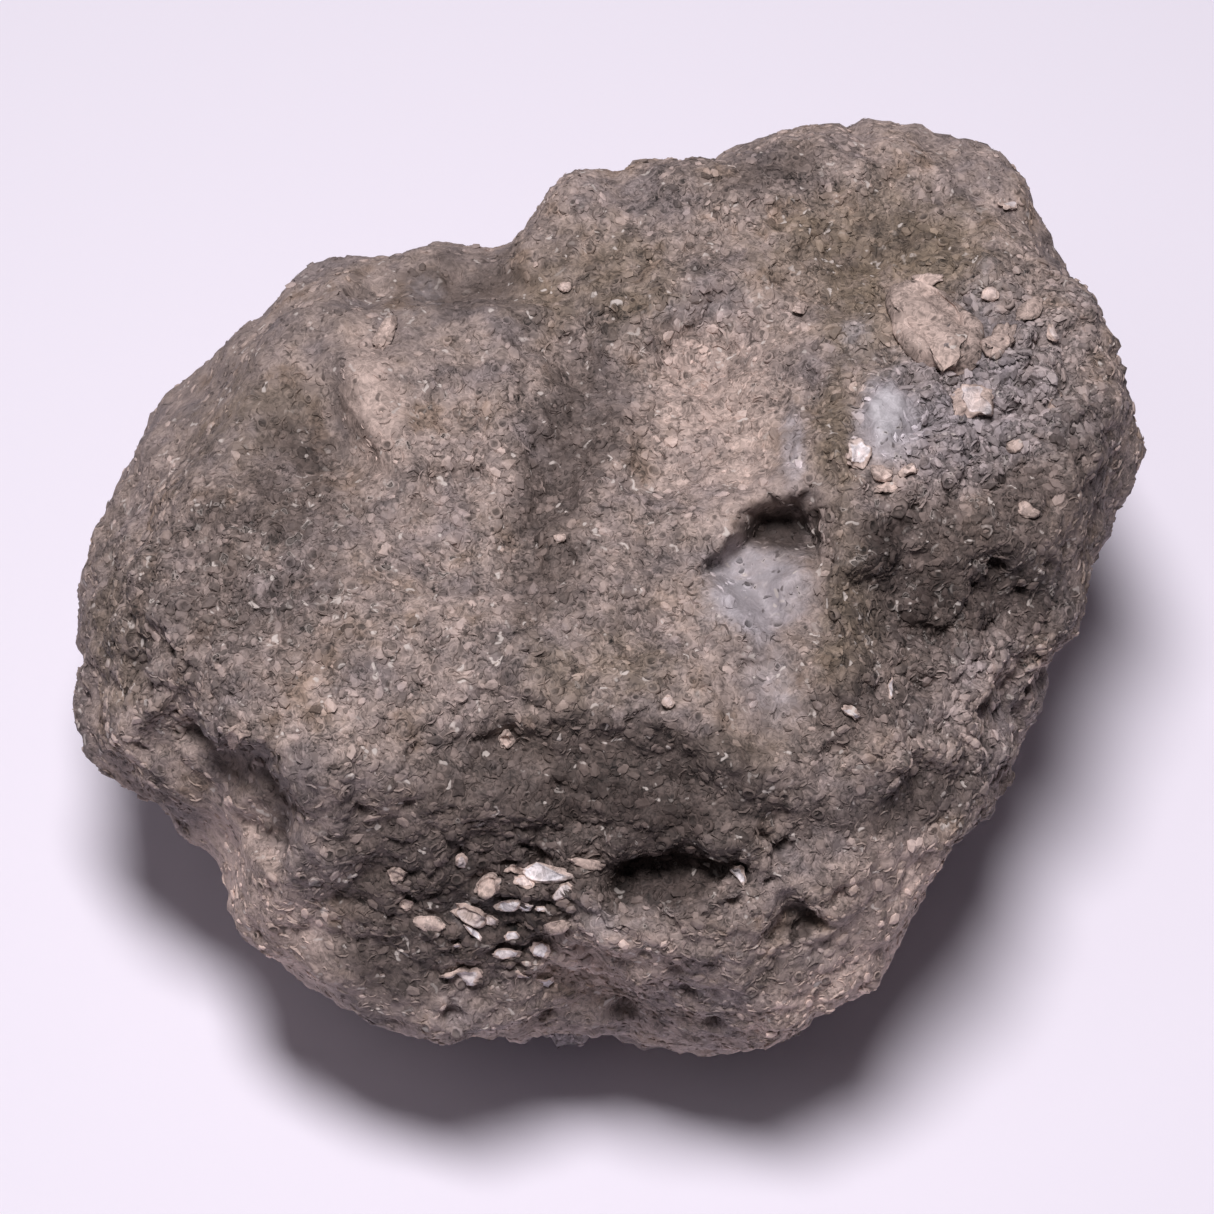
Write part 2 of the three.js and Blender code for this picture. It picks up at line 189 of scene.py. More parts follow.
outline = [  # the belt seen square to the face: right, up
    (25.0, 7.6), (24.7, 9.2), (24.1, 11.2), (23.0, 14.1), (22.1, 15.6), (21.3, 16.5),
    (21.1, 17.8), (20.5, 19.4), (19.2, 20.6), (17.8, 21.4), (16.5, 22.3), (15.6, 22.4),
    (15.0, 23.1), (14.1, 23.2), (13.1, 22.8), (11.0, 23.0), (8.7, 22.7), (6.3, 22.2),
    (4.5, 20.9), (2.1, 20.4), (0.6, 19.9), (-1.6, 20.2), (-2.6, 19.5), (-3.7, 17.9),
    (-4.7, 16.5), (-6.1, 16.1), (-8.2, 16.8), (-9.9, 16.4), (-12.0, 15.9), (-13.7, 14.8),
    (-14.6, 13.5), (-16.1, 12.6), (-16.7, 13.0), (-17.9, 12.0), (-19.4, 11.0), (-22.0, 9.4),
    (-22.9, 7.4), (-23.9, 4.5), (-24.6, 2.4), (-25.7, -0.2), (-25.7, -2.7), (-25.7, -5.0),
    (-25.2, -6.7), (-23.8, -7.9), (-21.5, -9.3), (-20.5, -9.8), (-19.4, -11.6), (-17.6, -13.4),
    (-17.1, -15.1), (-15.9, -17.3), (-14.6, -19.0), (-12.4, -19.8), (-9.4, -20.2), (-6.1, -20.7),
    (-2.5, -21.0), (0.2, -20.8), (2.5, -21.7), (5.4, -22.1), (8.2, -21.4), (9.4, -20.9),
    (10.2, -20.0), (12.0, -19.3), (13.0, -17.6), (13.7, -16.2), (13.7, -14.7), (14.5, -13.2),
    (15.8, -11.0), (16.9, -10.6), (18.5, -9.1), (20.0, -6.6), (20.7, -4.3), (20.8, -2.6),
    (21.4, -0.8), (22.7, 1.9), (24.7, 5.0),
]

lumps = [  # centre, half sizes, turn in degrees, rise
    ((16.5, 9.0), (8.0, 7.5), 0, 1.9),  # clast-rich lobe
    ((15.2, 12.9), (2.5, 1.6), -38, 0.7),  # big pale clast
    ((16.9, 9.3), (1.1, 0.9), 0, 0.5),  # small pale clast
    ((13.0, 8.8), (1.3, 2.0), 8, 0.5),  # grey-white clast
    ((7.9, 3.3), (1.8, 1.0), 0, -1.1),  # pocket under the cave's arch
    ((13.4, 3.2), (1.0, 0.7), 10, -0.5),  # holes under the lobe
    ((17.5, 1.2), (1.2, 0.8), -10, -0.2),
    ((14.2, -1.6), (1.2, 0.9), 20, -0.3),
    ((12.0, 0.6), (0.9, 0.7), 0, -0.4),
    ((15.4, 0.4), (1.1, 0.9), 0, -0.3),
    ((20.1, 0.2), (1.1, 0.8), -20, -0.5),  # hollow by the right rim
    ((-14.0, 7.3), (2.8, 2.5), -20, -2.2),  # hollow left of the pale ridge
    ((12.1, 17.3), (1.8, 1.2), 10, -0.9),  # brown dip near the top
    ((3.8, -16.8), (8.0, 3.2), 0, 1.2),  # bulge below the front ledge
    ((-0.6, -15.4), (2.6, 1.6), 0, 0.6),  # pale block in that bulge
    ((-20.5, 1.5), (4.5, 7.0), 10, 0.7),  # left cheek
    ((-1.6, 19.6), (1.7, 1.6), 0, 0.9),  # top knob
    ((13.6, 21.8), (1.4, 1.3), 0, 0.8),  # knob on the top right
    ((15.0, -9.6), (3.4, 1.9), 25, -1.0),  # hollow facet on the lower right
    ((-9.5, -12.5), (4.0, 2.4), -10, -0.8),  # hollow in the lower left
    ((2.8, -12.9), (2.5, 1.3), 8, -1.1),  # hollow under the front cave's arch
]

crests = [  # line of points, reach on the left, reach on the right, rise
    ([(3.6, 14.6), (5.0, 10.6), (6.0, 7.6), (6.6, 4.2)], 2.0, 3.4, -1.7),  # pale channel
    ([(9.2, 11.0), (9.2, 8.8), (9.1, 7.2)], 0.5, 0.4, -0.6),  # crease along the channel's right side
    ([(7.2, 1.0), (7.6, -2.0), (7.6, -5.0), (7.0, -8.6)], 1.9, 2.8, -1.3),  # channel below the cave
    (  # cave
        [(4.3, 0.2), (4.7, 1.3), (5.9, 2.3), (6.8, 3.2), (7.6, 3.9), (8.4, 4.0), (9.1, 3.5), (9.6, 2.6),
         (9.7, 0.9)],
        0.45, 3.4, -2.9,
    ),
    (  # under the lobe
        [(11.6, 1.6), (13.6, -0.4), (16.0, -1.4), (18.4, -1.2), (20.8, 0.0)],
        4.4, 1.6, -1.6,
    ),
    ([(9.8, 9.5), (10.4, 6.0), (10.9, 3.0), (11.2, 0.0), (11.1, -3.0), (10.4, -7.0)], 1.6, 0.7, 1.1),
    ([(-0.6, 14.4), (-1.7, 8.5), (-3.3, 2.6), (-3.9, -1.6)], 1.2, 2.2, -1.9),  # middle groove
    ([(-6.2, 9.4), (-6.7, 6.6), (-6.9, 3.6)], 0.8, 0.9, -0.7),  # short groove
    ([(-9.8, 13.6), (-11.6, 10.6), (-11.5, 8.0), (-10.2, 3.6)], 2.8, 2.0, 1.3),  # pale ridge
    ([(-13.0, 14.2), (-9.9, 14.2), (-7.5, 14.1), (-5.6, 15.6), (-4.4, 17.2)], 3.2, 1.3, -2.4),
    (  # scoop on the lower left
        [(-20.4, -4.0), (-19.4, -6.0), (-18.2, -7.4), (-16.6, -7.4), (-15.6, -8.3), (-15.2, -10.4),
         (-15.4, -13.6)],
        0.35, 4.2, -3.4,
    ),
    ([(-23.0, -2.4), (-21.0, -4.2), (-19.0, -7.2)], 0.6, 0.7, -0.7),  # crease under the left cheek
    (  # under the front edge
        [(-10.1, -9.2), (-8.0, -7.8), (-5.2, -7.2), (-2.4, -8.4), (-0.5, -6.8), (1.9, -7.8), (4.0, -9.6),
         (8.9, -10.3), (11.6, -9.5)],
        1.7, 3.8, -1.9,
    ),
    (  # front cave
        [(-0.4, -14.4), (1.0, -12.7), (2.6, -12.0), (3.9, -11.5), (4.8, -11.8), (5.6, -13.8)],
        0.7, 2.7, -1.7,
    ),
    ([(7.7, -16.6), (8.0, -14.9), (8.7, -14.1), (9.4, -14.9), (9.6, -16.6)], 0.5, 1.1, -1.4),  # small cave
    ([(22.4, -0.6), (20.2, -2.8), (18.0, -4.8), (16.6, -6.6), (13.6, -7.3), (10.6, -8.2)], 0.6, 2.4, 1.1),
    ([(20.4, -6.6), (17.6, -9.6), (14.6, -11.4), (10.4, -11.8)], 0.9, 1.8, 0.6),  # lower ledge
    ([(-18.0, -14.0), (-14.0, -17.2), (-10.5, -19.2), (-5.5, -20.2)], 0.8, 0.8, 0.6),  # pale rim
    ([(3.2, 17.4), (8.0, 19.3), (13.4, 20.4)], 0.6, 1.2, 0.5),  # curved streak near the top
    ([(5.6, 15.6), (9.2, 17.4), (12.8, 18.9)], 0.5, 0.9, 0.35),  # the streak below it
]

crestShape = {
    "power": 1.6,
    "taper": 0.22,  # share of the line's length over which each end sinks
    "blend": 3,  # how sharply one part of the line takes over from the next, for each mm
}
reliefWarp = [(3.4, 0.55, 61), (1.5, 0.22, 64)]  # cell size, shift, pattern
roughness = [(8.0, 1.2, 3), (4.2, 0.7, 8)]  # cell size, height and a number that sets the pattern

outlineAngle = np.array([math.atan2(v, u) for u, v in outline])
outlineOrder = np.argsort(outlineAngle)
outlineAngle = outlineAngle[outlineOrder]
outlineRadius = np.array([math.hypot(u, v) for u, v in outline])[outlineOrder]


# The belt's radius round the face: straight between the outline's points, then averaged over
# neighbouring angles, more so away from the belt.
def beltRadius(angle, poleShare):
    taps, atBelt, atPole = body["smoothing"]
    spread = atBelt + (atPole - atBelt) * smoothStep(poleShare, 0.15, 0.85)
    total = weights = 0
    for tap in range(-taps, taps + 1):
        weight = math.exp(-((tap / taps) ** 2) * 2)
        turned = angle + tap * spread
        total = total + weight * np.interp(turned, outlineAngle, outlineRadius, period=2 * np.pi)
        weights += weight
    seen = total / weights * body["beltScale"]
    return seen * (1 + body["beltSlope"] * seen * np.sin(angle) / face["mapDistance"])


# Distance from the centre along each direction: a superellipse between the belt and two domes, softly
# cut by the broken faces, each of which adds a power of its closeness. A bite takes off its depth times
# exp of minus the cube of the angle in half angles.
def bodyRadius(directions):
    u, v, w = directions.T
    deep = w + body["beltSlope"] * v
    across = np.hypot(u, v)
    poleShare = np.abs(deep) / np.hypot(across, deep)
    radius = beltRadius(np.arctan2(v, u), poleShare)
    depth = np.where(deep > 0, body["frontDepth"], body["backDepth"])
    n = body["squareness"]
    p = body["edgeSharpness"]
    total = ((across / radius) ** n + (np.abs(deep) / depth) ** n) ** (p / n)
    upright = standing(directions) - np.array(face["centre"])
    for out, distance in breaks:
        total += np.maximum(0, upright @ unit(np.array(out, float)) / distance) ** p
    radius = total ** (-1 / p)
    for toward, halfAngle, depth in bites:
        angle = np.arccos(np.clip(upright @ unit(np.array(toward)), -1, 1))
        radius = radius - depth * np.exp(-((angle / halfAngle) ** 3))
    return radius


# A lump: exp of minus the cube of the distance in half sizes, so it is flat-topped.
def lumpRise(right, up, at, half, turn, rise):
    c, s = math.cos(math.radians(turn)), math.sin(math.radians(turn))
    x, y = right - at[0], up - at[1]
    along, over = (x * c + y * s) / half[0], (y * c - x * s) / half[1]
    return rise * np.exp(-((along**2 + over**2) ** 1.5))


# A crest: rise times exp of minus a power of the distance from its line over the reach on that side. It
# sinks to nothing at the line's two ends. Where two parts of the line are equally near, side and end are
# blended.
def crestRise(right, up, line, left, rightSide, rise):
    gaps, sides, runs = [], [], []
    whole = 0
    for (ax, ay), (bx, by) in zip(line, line[1:]):
        dx, dy = bx - ax, by - ay
        x, y = right - ax, up - ay
        t = np.clip((x * dx + y * dy) / (dx * dx + dy * dy), 0, 1)
        gaps.append(np.hypot(x - t * dx, y - t * dy))
        sides.append((dx * y - dy * x > 0) * 1.0)
        runs.append(whole + t * math.hypot(dx, dy))
        whole += math.hypot(dx, dy)
    nearest = np.min(gaps, axis=0)
    weights = np.exp((nearest - np.array(gaps)) * crestShape["blend"])
    weights = weights / weights.sum(axis=0)
    onLeft = np.sum(weights * np.array(sides), axis=0)
    ends = np.minimum(runs, whole - np.array(runs))
    taper = np.sum(weights * smoothStep(ends, 0, crestShape["taper"] * whole), axis=0)
    reach = left * onLeft + rightSide * (1 - onLeft)
    return rise * taper * np.exp(-((nearest / reach) ** crestShape["power"]))


# Right and up on the relief's map, as seen from the point in front of the centre.
def mapPlace(points):
    spread = face["mapDistance"] / (face["mapDistance"] - points[:, 2])
    return points[:, 0] * spread, points[:, 1] * spread


# The form without fine relief: the body's radius along each direction, then lumps and crests that rise
# towards the eye on a gently warped map, then slow gradient noise along the direction.
def mainForm(directions):
    points = directions * bodyRadius(directions)[:, None]
    inFront = points[:, 2] + body["beltSlope"] * points[:, 1]
    right, up = mapPlace(points)
    right = right + sum(shift * slopes(points, size, pattern) for size, shift, pattern in reliefWarp)
    up = up + sum(shift * slopes(points, size, pattern + 1) for size, shift, pattern in reliefWarp)
    rise = sum(lumpRise(right, up, *lump) for lump in lumps)
    rise = rise + sum(crestRise(right, up, *crest) for crest in crests)
    rise = rise * smoothStep(inFront, 0, body["reliefFade"])
    towards = unit(np.array([0, 0, face["mapDistance"]]) - points)
    points = points + towards * rise[:, None]
    calm = 1 - body["calmAtBelt"] * np.exp(-((inFront / body["calmWidth"]) ** 2))
    under = -directions[:, 1] * math.sin(face["lean"]) - directions[:, 2] * math.cos(face["lean"])
    calm = calm * (1 - body["calmUnder"] * smoothStep(under, *body["underStart"]))
    ground = sum(height * slopes(points, size, pattern) for size, height, pattern in roughness)
    points = points + directions * (calm * ground)[:, None]
    return points


# What would sink below the resting plane is drawn in towards the centre until it lies on it: its place
# is scaled by the plane's depth over its own.
def wornFlat(points):
    height = points[:, 1] * math.sin(face["lean"]) + points[:, 2] * math.cos(face["lean"])
    floor = -face["centre"][2]
    scale = np.where(height < floor, floor / np.minimum(height, -1e-6), 1)
    return points * scale[:, None]


# A cube's surface grid as directions: each corner once, its quads facing out. The tangent of evenly
# spaced angles spreads them evenly. turn spins them about W, and lead draws them towards the face, where
# more is seen.
def cubeSkin(steps, lead=0.0, turn=0.0):
    side = steps + 1
    i, j = np.meshgrid(np.arange(side), np.arange(side), indexing="ij")
    quads = []
    for axis in range(3):
        for end in (0, steps):
            corner = np.zeros(i.shape + (3,), int)
            corner[..., axis] = end
            corner[..., (axis + 1) % 3] = i
            corner[..., (axis + 2) % 3] = j
            key = corner @ np.array([side**2, side, 1])
            quad = np.stack([key[:-1, :-1], key[1:, :-1], key[1:, 1:], key[:-1, 1:]], axis=-1)
            quads.append(quad.reshape(-1, 4)[:, :: 1 if end else -1])
    names, index = np.unique(np.concatenate(quads), return_inverse=True)
    grid = np.stack([names // side**2, names // side % side, names % side], axis=1)
    directions = unit(np.tan((grid / steps * 2 - 1) * math.pi / 4))
    c, s = math.cos(turn), math.sin(turn)
    directions = directions @ np.array([[c, s, 0], [-s, c, 0], [0, 0, 1]])
    return unit(directions + np.array([0, 0, lead])), index.reshape(-1, 4)


# The outward direction at each corner: the sum of the crossed diagonals of the quads around it.
def cornerNormals(points, quads):
    a, b, c, d = (points[quads[:, k]] for k in range(4))
    across = np.cross(c - a, d - b)
    total = np.zeros_like(points)
    for k in range(4):
        for axis in range(3):
            total[:, axis] += np.bincount(quads[:, k], across[:, axis], len(points))
    return unit(total)


# Points and faces, all with the same number of sides, as an object at the origin. Marks are numbers at
# the corners that the material reads.
def meshPiece(name, points, faces, material, marks=None, smooth=True):
    mesh = bpy.data.meshes.new(name)
    sides = faces.shape[1]
    mesh.vertices.add(len(points))
    mesh.vertices.foreach_set("co", (points * toMetres).astype(np.float32).ravel())
    mesh.loops.add(faces.size)
    mesh.loops.foreach_set("vertex_index", faces.astype(np.int32).ravel())
    mesh.polygons.add(len(faces))
    mesh.polygons.foreach_set("loop_start", np.arange(0, faces.size, sides, dtype=np.int32))
    mesh.polygons.foreach_set("use_smooth", np.full(len(faces), smooth))
    mesh.update(calc_edges=True)
    for mark, values in (marks or {}).items():
        attribute = mesh.attributes.new(mark, "FLOAT", "POINT")
        attribute.data.foreach_set("value", values.astype(np.float32))
    mesh.materials.append(material)
    piece = bpy.data.objects.new(name, mesh)
    bpy.context.scene.collection.objects.link(piece)
    return piece


print("tools ready")


# A wire in a material's tree. Arithmetic on wires adds Math nodes, and node() adds any other kind.
class Wire:
    def __init__(self, tree, socket=None):
        self.tree, self.socket = tree, socket

    # A node of any kind: its settings are set first, then its sockets, by name or number, to values or
    # wires. out is the output that the new wire comes from.
    def node(self, kind, settings=None, sockets=None, out=0):
        made = self.tree.nodes.new("ShaderNode" + kind)
        for name, value in (settings or {}).items():
            setattr(made, name, value)
        for name, value in (sockets or {}).items():
            if isinstance(value, Wire):
                self.tree.links.new(value.socket, made.inputs[name])
            else:
                made.inputs[name].default_value = value
        return Wire(self.tree, made.outputs[out] if made.outputs else None)

    # A Math node on this wire and the others, in order.
    def maths(self, operation, *others):
        return self.node("Math", {"operation": operation}, dict(enumerate((self,) + others)))

    def __add__(self, other):
        return self.maths("ADD", other)

    __radd__ = __add__

    def __sub__(self, other):
        return self.maths("SUBTRACT", other)

    def __rsub__(self, other):
        return self.node("Math", {"operation": "SUBTRACT"}, {0: other, 1: self})

    def __mul__(self, other):
        return self.maths("MULTIPLY", other)

    __rmul__ = __mul__

    # 0 below low and 1 above high, with t squared times (3 - 2t) between; low may be the larger one.
    def step(self, low, high):
        sockets = {"Value": self, "From Min": low, "From Max": high}
        return self.node("MapRange", {"interpolation_type": "SMOOTHSTEP"}, sockets)

    # Gradient noise with cells of this size, plus detail further layers, each half the size and roughness
    # times the height of the last.
    def noise(self, size, detail, roughness, warp=0.0):
        sockets = {"Vector": self, "Scale": 1 / size, "Detail": detail, "Roughness": roughness}
        return self.node("TexNoise", {}, {**sockets, "Distortion": warp})

    # Distance to the nearest of points scattered one to a cell of this size, in cell sizes.
    def voronoi(self, size):
        return self.node("TexVoronoi", {}, {"Vector": self, "Scale": 1 / size}, "Distance")

    # Another output of the node that this wire comes from.
    def also(self, out):
        return Wire(self.tree, self.socket.node.outputs[out])

    # Red, green and blue of a colour as three wires.
    def channels(self):
        red = self.node("SeparateColor", {}, {"Color": self}, "Red")
        return red, red.also("Green"), red.also("Blue")

    # self where the mask is 0 and other where it is 1; both are colours.
    def towards(self, other, mask):
        return self.node("Mix", {"data_type": "RGBA"}, {0: mask, 6: self, 7: other}, 2)

    # A Vector Math node on this wire and the other, part by part.
    def vector(self, operation, other):
        return self.node("VectorMath", {"operation": operation}, {0: self, 1: other})

    # All three parts of a vector or colour times one number.
    def scale(self, factor):
        return self.node("VectorMath", {"operation": "SCALE"}, {0: self, "Scale": factor})


# An empty material and a wire to start its tree from.
def newMaterial(name):
    material = bpy.data.materials.new(name)
    material.use_nodes = True
    tree = material.node_tree
    tree.nodes.clear()
    return material, Wire(tree)


# Closes a material: a principled surface with a bump from the height, which is in metres.
def finishMaterial(wire, colour, roughness, specular, height=None):
    sockets = {"Base Color": colour, "Roughness": roughness, "Specular IOR Level": specular}
    if height is not None:
        sockets["Normal"] = wire.node("Bump", {}, {"Distance": 1.0, "Height": height})
    surface = wire.node("BsdfPrincipled", {}, sockets)
    wire.node("OutputMaterial", {}, {"Surface": surface})


# An sRGB colour out of 255, made linear.
def paint(red, green, blue):
    c = np.array([red, green, blue]) / 255
    return tuple(float(x) for x in np.where(c <= 0.04045, c / 12.92, ((c + 0.055) / 1.055) ** 2.4))


# Where the glass changes: centre, half sizes, turn in degrees and strength of soft-edged patches.
zones = {
    "pale": [  # pinkish beige glass; its patches along the lower edges are also painted light on those edges
        ((5.2, 8.6), (4.2, 5.6), 6, 0.68), ((3.4, -1.6), (3.0, 4.6), 0, 0.15),
        ((-11.2, 8.8), (1.7, 4.4), 10, 0.9), ((13.4, -14.2), (3.8, 3.4), 40, 0.6),
        ((9.5, -19.2), (6.0, 1.8), 35, 0.8), ((0.0, -15.6), (3.2, 2.1), 0, 0.45),
        ((-17.4, -11.0), (2.4, 2.6), 30, 0.6), ((-16.2, -15.0), (2.2, 4.4), 42, 0.9),
        ((15.2, -14.8), (1.8, 3.6), -35, 0.8), ((0.0, -17.4), (4.4, 1.8), 0, 0.5),
        ((9.2, 15.0), (1.8, 2.4), 0, 0.35), ((-13.0, -1.4), (5.0, 2.4), 20, 0.15),
        ((-19.0, -4.0), (3.0, 2.0), -30, 0.3), ((14.2, 13.4), (3.2, 2.2), -30, 0.4),
        ((19.5, -4.0), (3.5, 2.2), 40, 0.35), ((9.5, -6.2), (4.5, 1.6), 0, 0.35),
        ((-3.0, -4.0), (3.5, 3.5), 0, 0.15),
    ],
    "bluish": [  # smooth bluish-white glass
        ((6.8, 0.5), (2.8, 2.5), 0, 0.9), ((7.6, -4.4), (2.0, 2.4), 0, 0.35),
        ((8.5, 7.4), (0.8, 2.3), 0, 0.7), ((13.1, 8.7), (1.7, 2.4), 8, 1.0),
        ((11.6, 12.8), (0.9, 1.2), 0, 0.5), ((-6.5, -14.8), (1.6, 1.0), 0, 0.5),
        ((-0.4, -15.2), (2.4, 1.4), 0, 0.45), ((-8.8, 13.8), (1.2, 2.0), 0, 0.35),
        ((4.0, 13.6), (3.0, 0.9), 12, 0.35),
    ],
    "milky": [((13.2, 8.7), (1.2, 1.9), 8, 1.0), ((6.2, 1.0), (2.0, 1.5), 20, 0.6)],
    "darkGlassAndShade": [  # dark grey glass, with painted shade under the front ledge and in hollows
        ((-6.6, -13.0), (7.6, 5.6), 0, 1.0), ((1.4, -9.2), (8.6, 4.2), -8, 1.0),
        ((-10.3, -17.2), (2.8, 1.8), -25, 0.7), ((4.4, -14.8), (2.4, 1.6), 0, 0.5),
        ((8.4, -17.6), (3.0, 2.0), 0, 0.5), ((10.4, -5.6), (3.0, 1.8), 0, 0.6),
        ((-1.6, 16.8), (1.8, 1.6), 0, 0.4), ((4.2, 16.4), (2.4, 1.8), 0, 0.4),
        ((12.4, 17.2), (3.0, 2.6), 0, 0.5), ((19.6, 5.2), (2.6, 1.8), 0, 0.5),
        ((17.6, 13.8), (2.4, 2.0), 0, 0.35), ((-0.6, 0.8), (3.4, 2.6), 0, 0.35),
        ((-13.2, -2.0), (3.0, 2.2), 0, 0.3), ((0.8, 8.2), (1.8, 3.6), -10, 0.5),
        ((-16.0, 4.8), (4.4, 2.0), 0, 0.4), ((-20.0, -1.0), (5.5, 6.2), 10, 0.58),
        ((-14.5, 2.5), (4.6, 3.6), 0, 0.45), ((-2.4, 6.4), (2.2, 8.6), -13, 0.8),
        ((16.5, 1.2), (6.2, 3.9), -14, 0.95), ((-16.4, -9.2), (1.8, 2.6), 15, 0.5),
        ((14.4, -9.4), (4.0, 1.9), 18, 0.8), ((13.4, -3.8), (3.4, 2.6), -15, 0.6),
        ((8.0, 20.4), (4.4, 1.4), 14, 0.6), ((-7.2, 14.9), (4.0, 1.9), 8, 0.7),
        ((22.0, 7.0), (2.2, 5.0), 0, 0.6), ((-15.2, 7.4), (2.8, 2.4), -20, 0.5),
        ((12.2, -15.0), (2.0, 1.6), 0, 0.35),
    ],
    "olive": [  # brown and olive glass
        ((-0.6, 15.0), (5.5, 3.6), 0, 0.65), ((12.8, 16.6), (6.5, 3.6), 0, 0.85),
        ((11.4, -1.0), (2.4, 5.4), 0, 0.75), ((10.5, 7.4), (1.4, 3.4), 5, 0.7),
        ((-16.6, 8.2), (4.6, 3.4), 30, 0.55), ((6.0, -7.2), (4.4, 1.4), 0, 0.6),
        ((-23.4, -2.0), (1.8, 5.0), 0, 0.6), ((-4.0, -8.0), (5.0, 1.6), 0, 0.4),
        ((4.5, -18.8), (6.0, 1.6), 0, 0.3), ((-0.4, -3.4), (5.4, 3.6), 0, 0.55),
        ((11.8, 12.6), (2.2, 3.6), 0, 0.6),
    ],
    "crumbly": [  # broken into coarse grains
        ((17.6, 10.0), (6.6, 6.4), 0, 1.0), ((-4.0, -14.0), (10.0, 5.6), 0, 0.5),
        ((15.6, 0.4), (6.0, 4.0), -12, 0.2), ((-19.6, -1.2), (6.0, 7.0), 0, 0.55),
        ((17.4, -5.4), (6.0, 5.0), 0, 0.6), ((9.0, 18.6), (9.0, 2.8), 10, 0.45),
        ((-9.0, -5.8), (8.0, 2.6), 0, 0.35),
    ],
    "deep": [  # painted shade: very dark brown laid into the caves, pockets and hollows
        ((7.9, 3.2), (1.8, 1.0), 0, 0.8), ((2.7, -13.0), (2.8, 1.5), 9, 1.0),
        ((8.8, -15.2), (0.8, 1.1), 0, 0.8), ((2.9, -10.4), (2.8, 1.1), 0, 0.5),
        ((-15.8, -9.3), (0.8, 2.2), 12, 0.25), ((13.5, 3.1), (1.1, 0.8), 10, 0.5),
        ((17.5, 1.2), (1.2, 0.8), -10, 0.2), ((20.1, 0.2), (1.1, 0.8), -20, 0.4),
        ((14.2, -1.6), (1.2, 0.9), 20, 0.4), ((15.6, 0.8), (5.6, 2.8), -12, 0.42),
        ((5.0, 1.9), (1.1, 0.3), 45, 0.35), ((-13.6, 7.2), (1.7, 1.5), -20, 0.5),
        ((12.3, 17.5), (1.1, 0.7), 10, 0.5), ((15.4, 0.4), (1.0, 0.7), 0, 0.5),
        ((-0.2, -9.0), (4.8, 2.6), 0, 0.5), ((-5.4, -14.8), (4.2, 3.0), 0, 0.5),
    ],
    "smooth": [  # melted smooth, with few grains
        ((-7.6, 14.7), (6.0, 3.0), 0, 0.85), ((-11.2, 9.0), (2.4, 5.0), 0, 0.95),
        ((-17.4, 10.6), (7.0, 3.6), 38, 0.85), ((6.0, 9.0), (3.4, 3.6), 0, 0.45),
        ((8.0, 4.6), (3.4, 1.7), 0, 0.95), ((7.2, 1.4), (3.2, 3.0), 0, 0.9),
        ((7.0, -4.6), (2.6, 3.2), 0, 0.5), ((13.2, 8.7), (1.6, 2.3), 8, 1.0),
        ((0.6, -16.4), (3.6, 2.0), 0, 0.6), ((-17.4, -10.0), (3.4, 4.6), 20, 0.9),
        ((13.0, -15.0), (3.6, 3.0), 40, 0.6), ((-13.5, -17.5), (6.0, 1.6), -25, 0.7),
    ],
    "porous": [  # peppered with small open bubbles
        ((-15.0, 1.8), (9.0, 7.2), 0, 1.0), ((5.6, 11.0), (4.8, 1.5), 0, 0.9),
        ((17.0, 6.0), (7.0, 8.5), 0, 0.8), ((-2.0, -14.0), (14.0, 7.0), 0, 0.7),
        ((-8.0, 8.6), (2.6, 2.2), 0, 0.8), ((6.4, 1.2), (1.8, 1.4), 30, 0.8),
        ((15.6, 0.4), (6.0, 4.0), -12, 1.0),
    ],
}
zoneFloor = {  # least strength anywhere
    "pale": 0.12, "bluish": 0.0, "milky": 0.0, "darkGlassAndShade": 0.1, "olive": 0.15,
    "crumbly": 0.2, "deep": 0.0, "smooth": 0.0, "porous": 0.3,
}
zoneOffFace = {"deep": 0.0, "milky": 0.0, "bluish": 0.4}  # share of its strength that a zone keeps there
rimWidth = 5.6  # mm over which the stone's edge band fades: the glass is painted lighter there, as painted light, with less contrast and fewer, shorter grains


# Each zone is 1 minus the product of what its patches leave over. Off the face, where the patches end,
# slow noise takes their place. The rim, where the glass gets painted light, is strongest at the stone's
# belt.
def zoneStrengths(points):
    right, up = mapPlace(points)
    inFront = points[:, 2] + body["beltSlope"] * points[:, 1]
    onFace = smoothStep(inFront, -1.5, 2.5)
    strengths = {"rim": np.exp(-((inFront / rimWidth) ** 2))}
    for number, (name, patches) in enumerate(zones.items()):
        left = np.ones(len(points))
        for patch in patches:
            left = left * (1 - lumpRise(right, up, *patch))
        elsewhere = smoothStep(slopes(points, 9.0, 40 + number), 0.0, 0.7) * max(p[3] for p in patches)
        elsewhere = elsewhere * zoneOffFace.get(name, 1)
        strengths[name] = np.maximum(zoneFloor[name], onFace * (1 - left) + (1 - onFace) * elsewhere)
    return strengths


fineRelief = {
    "swell": [(3.2, 0.34, 21), (1.7, 0.22, 22), (0.9, 0.14, 23), (0.5, 0.08, 24)],  # size, height, pattern
    "clods": [(2.6, 0.8, 31), (1.2, 0.45, 32), (0.7, 0.24, 33)],  # the same
    "bend": (0.5, 1.6),  # mm that the clods' borders wander, and over what size
    "clodStep": 0.7,  # how differently clods stand, as a share of their height
    "pits": [(2.1, 0.34, 0.28, 43), (1.2, 0.36, 0.3, 42)],  # size, share of cells, radius share, pattern
    "pitDepth": 0.9,  # share of a pit's radius
    "calmed": 0.75,  # share of all this that a smooth zone loses
    "besideScraps": 1.35,  # scrap sizes within which the skin sinks round a scrap
}

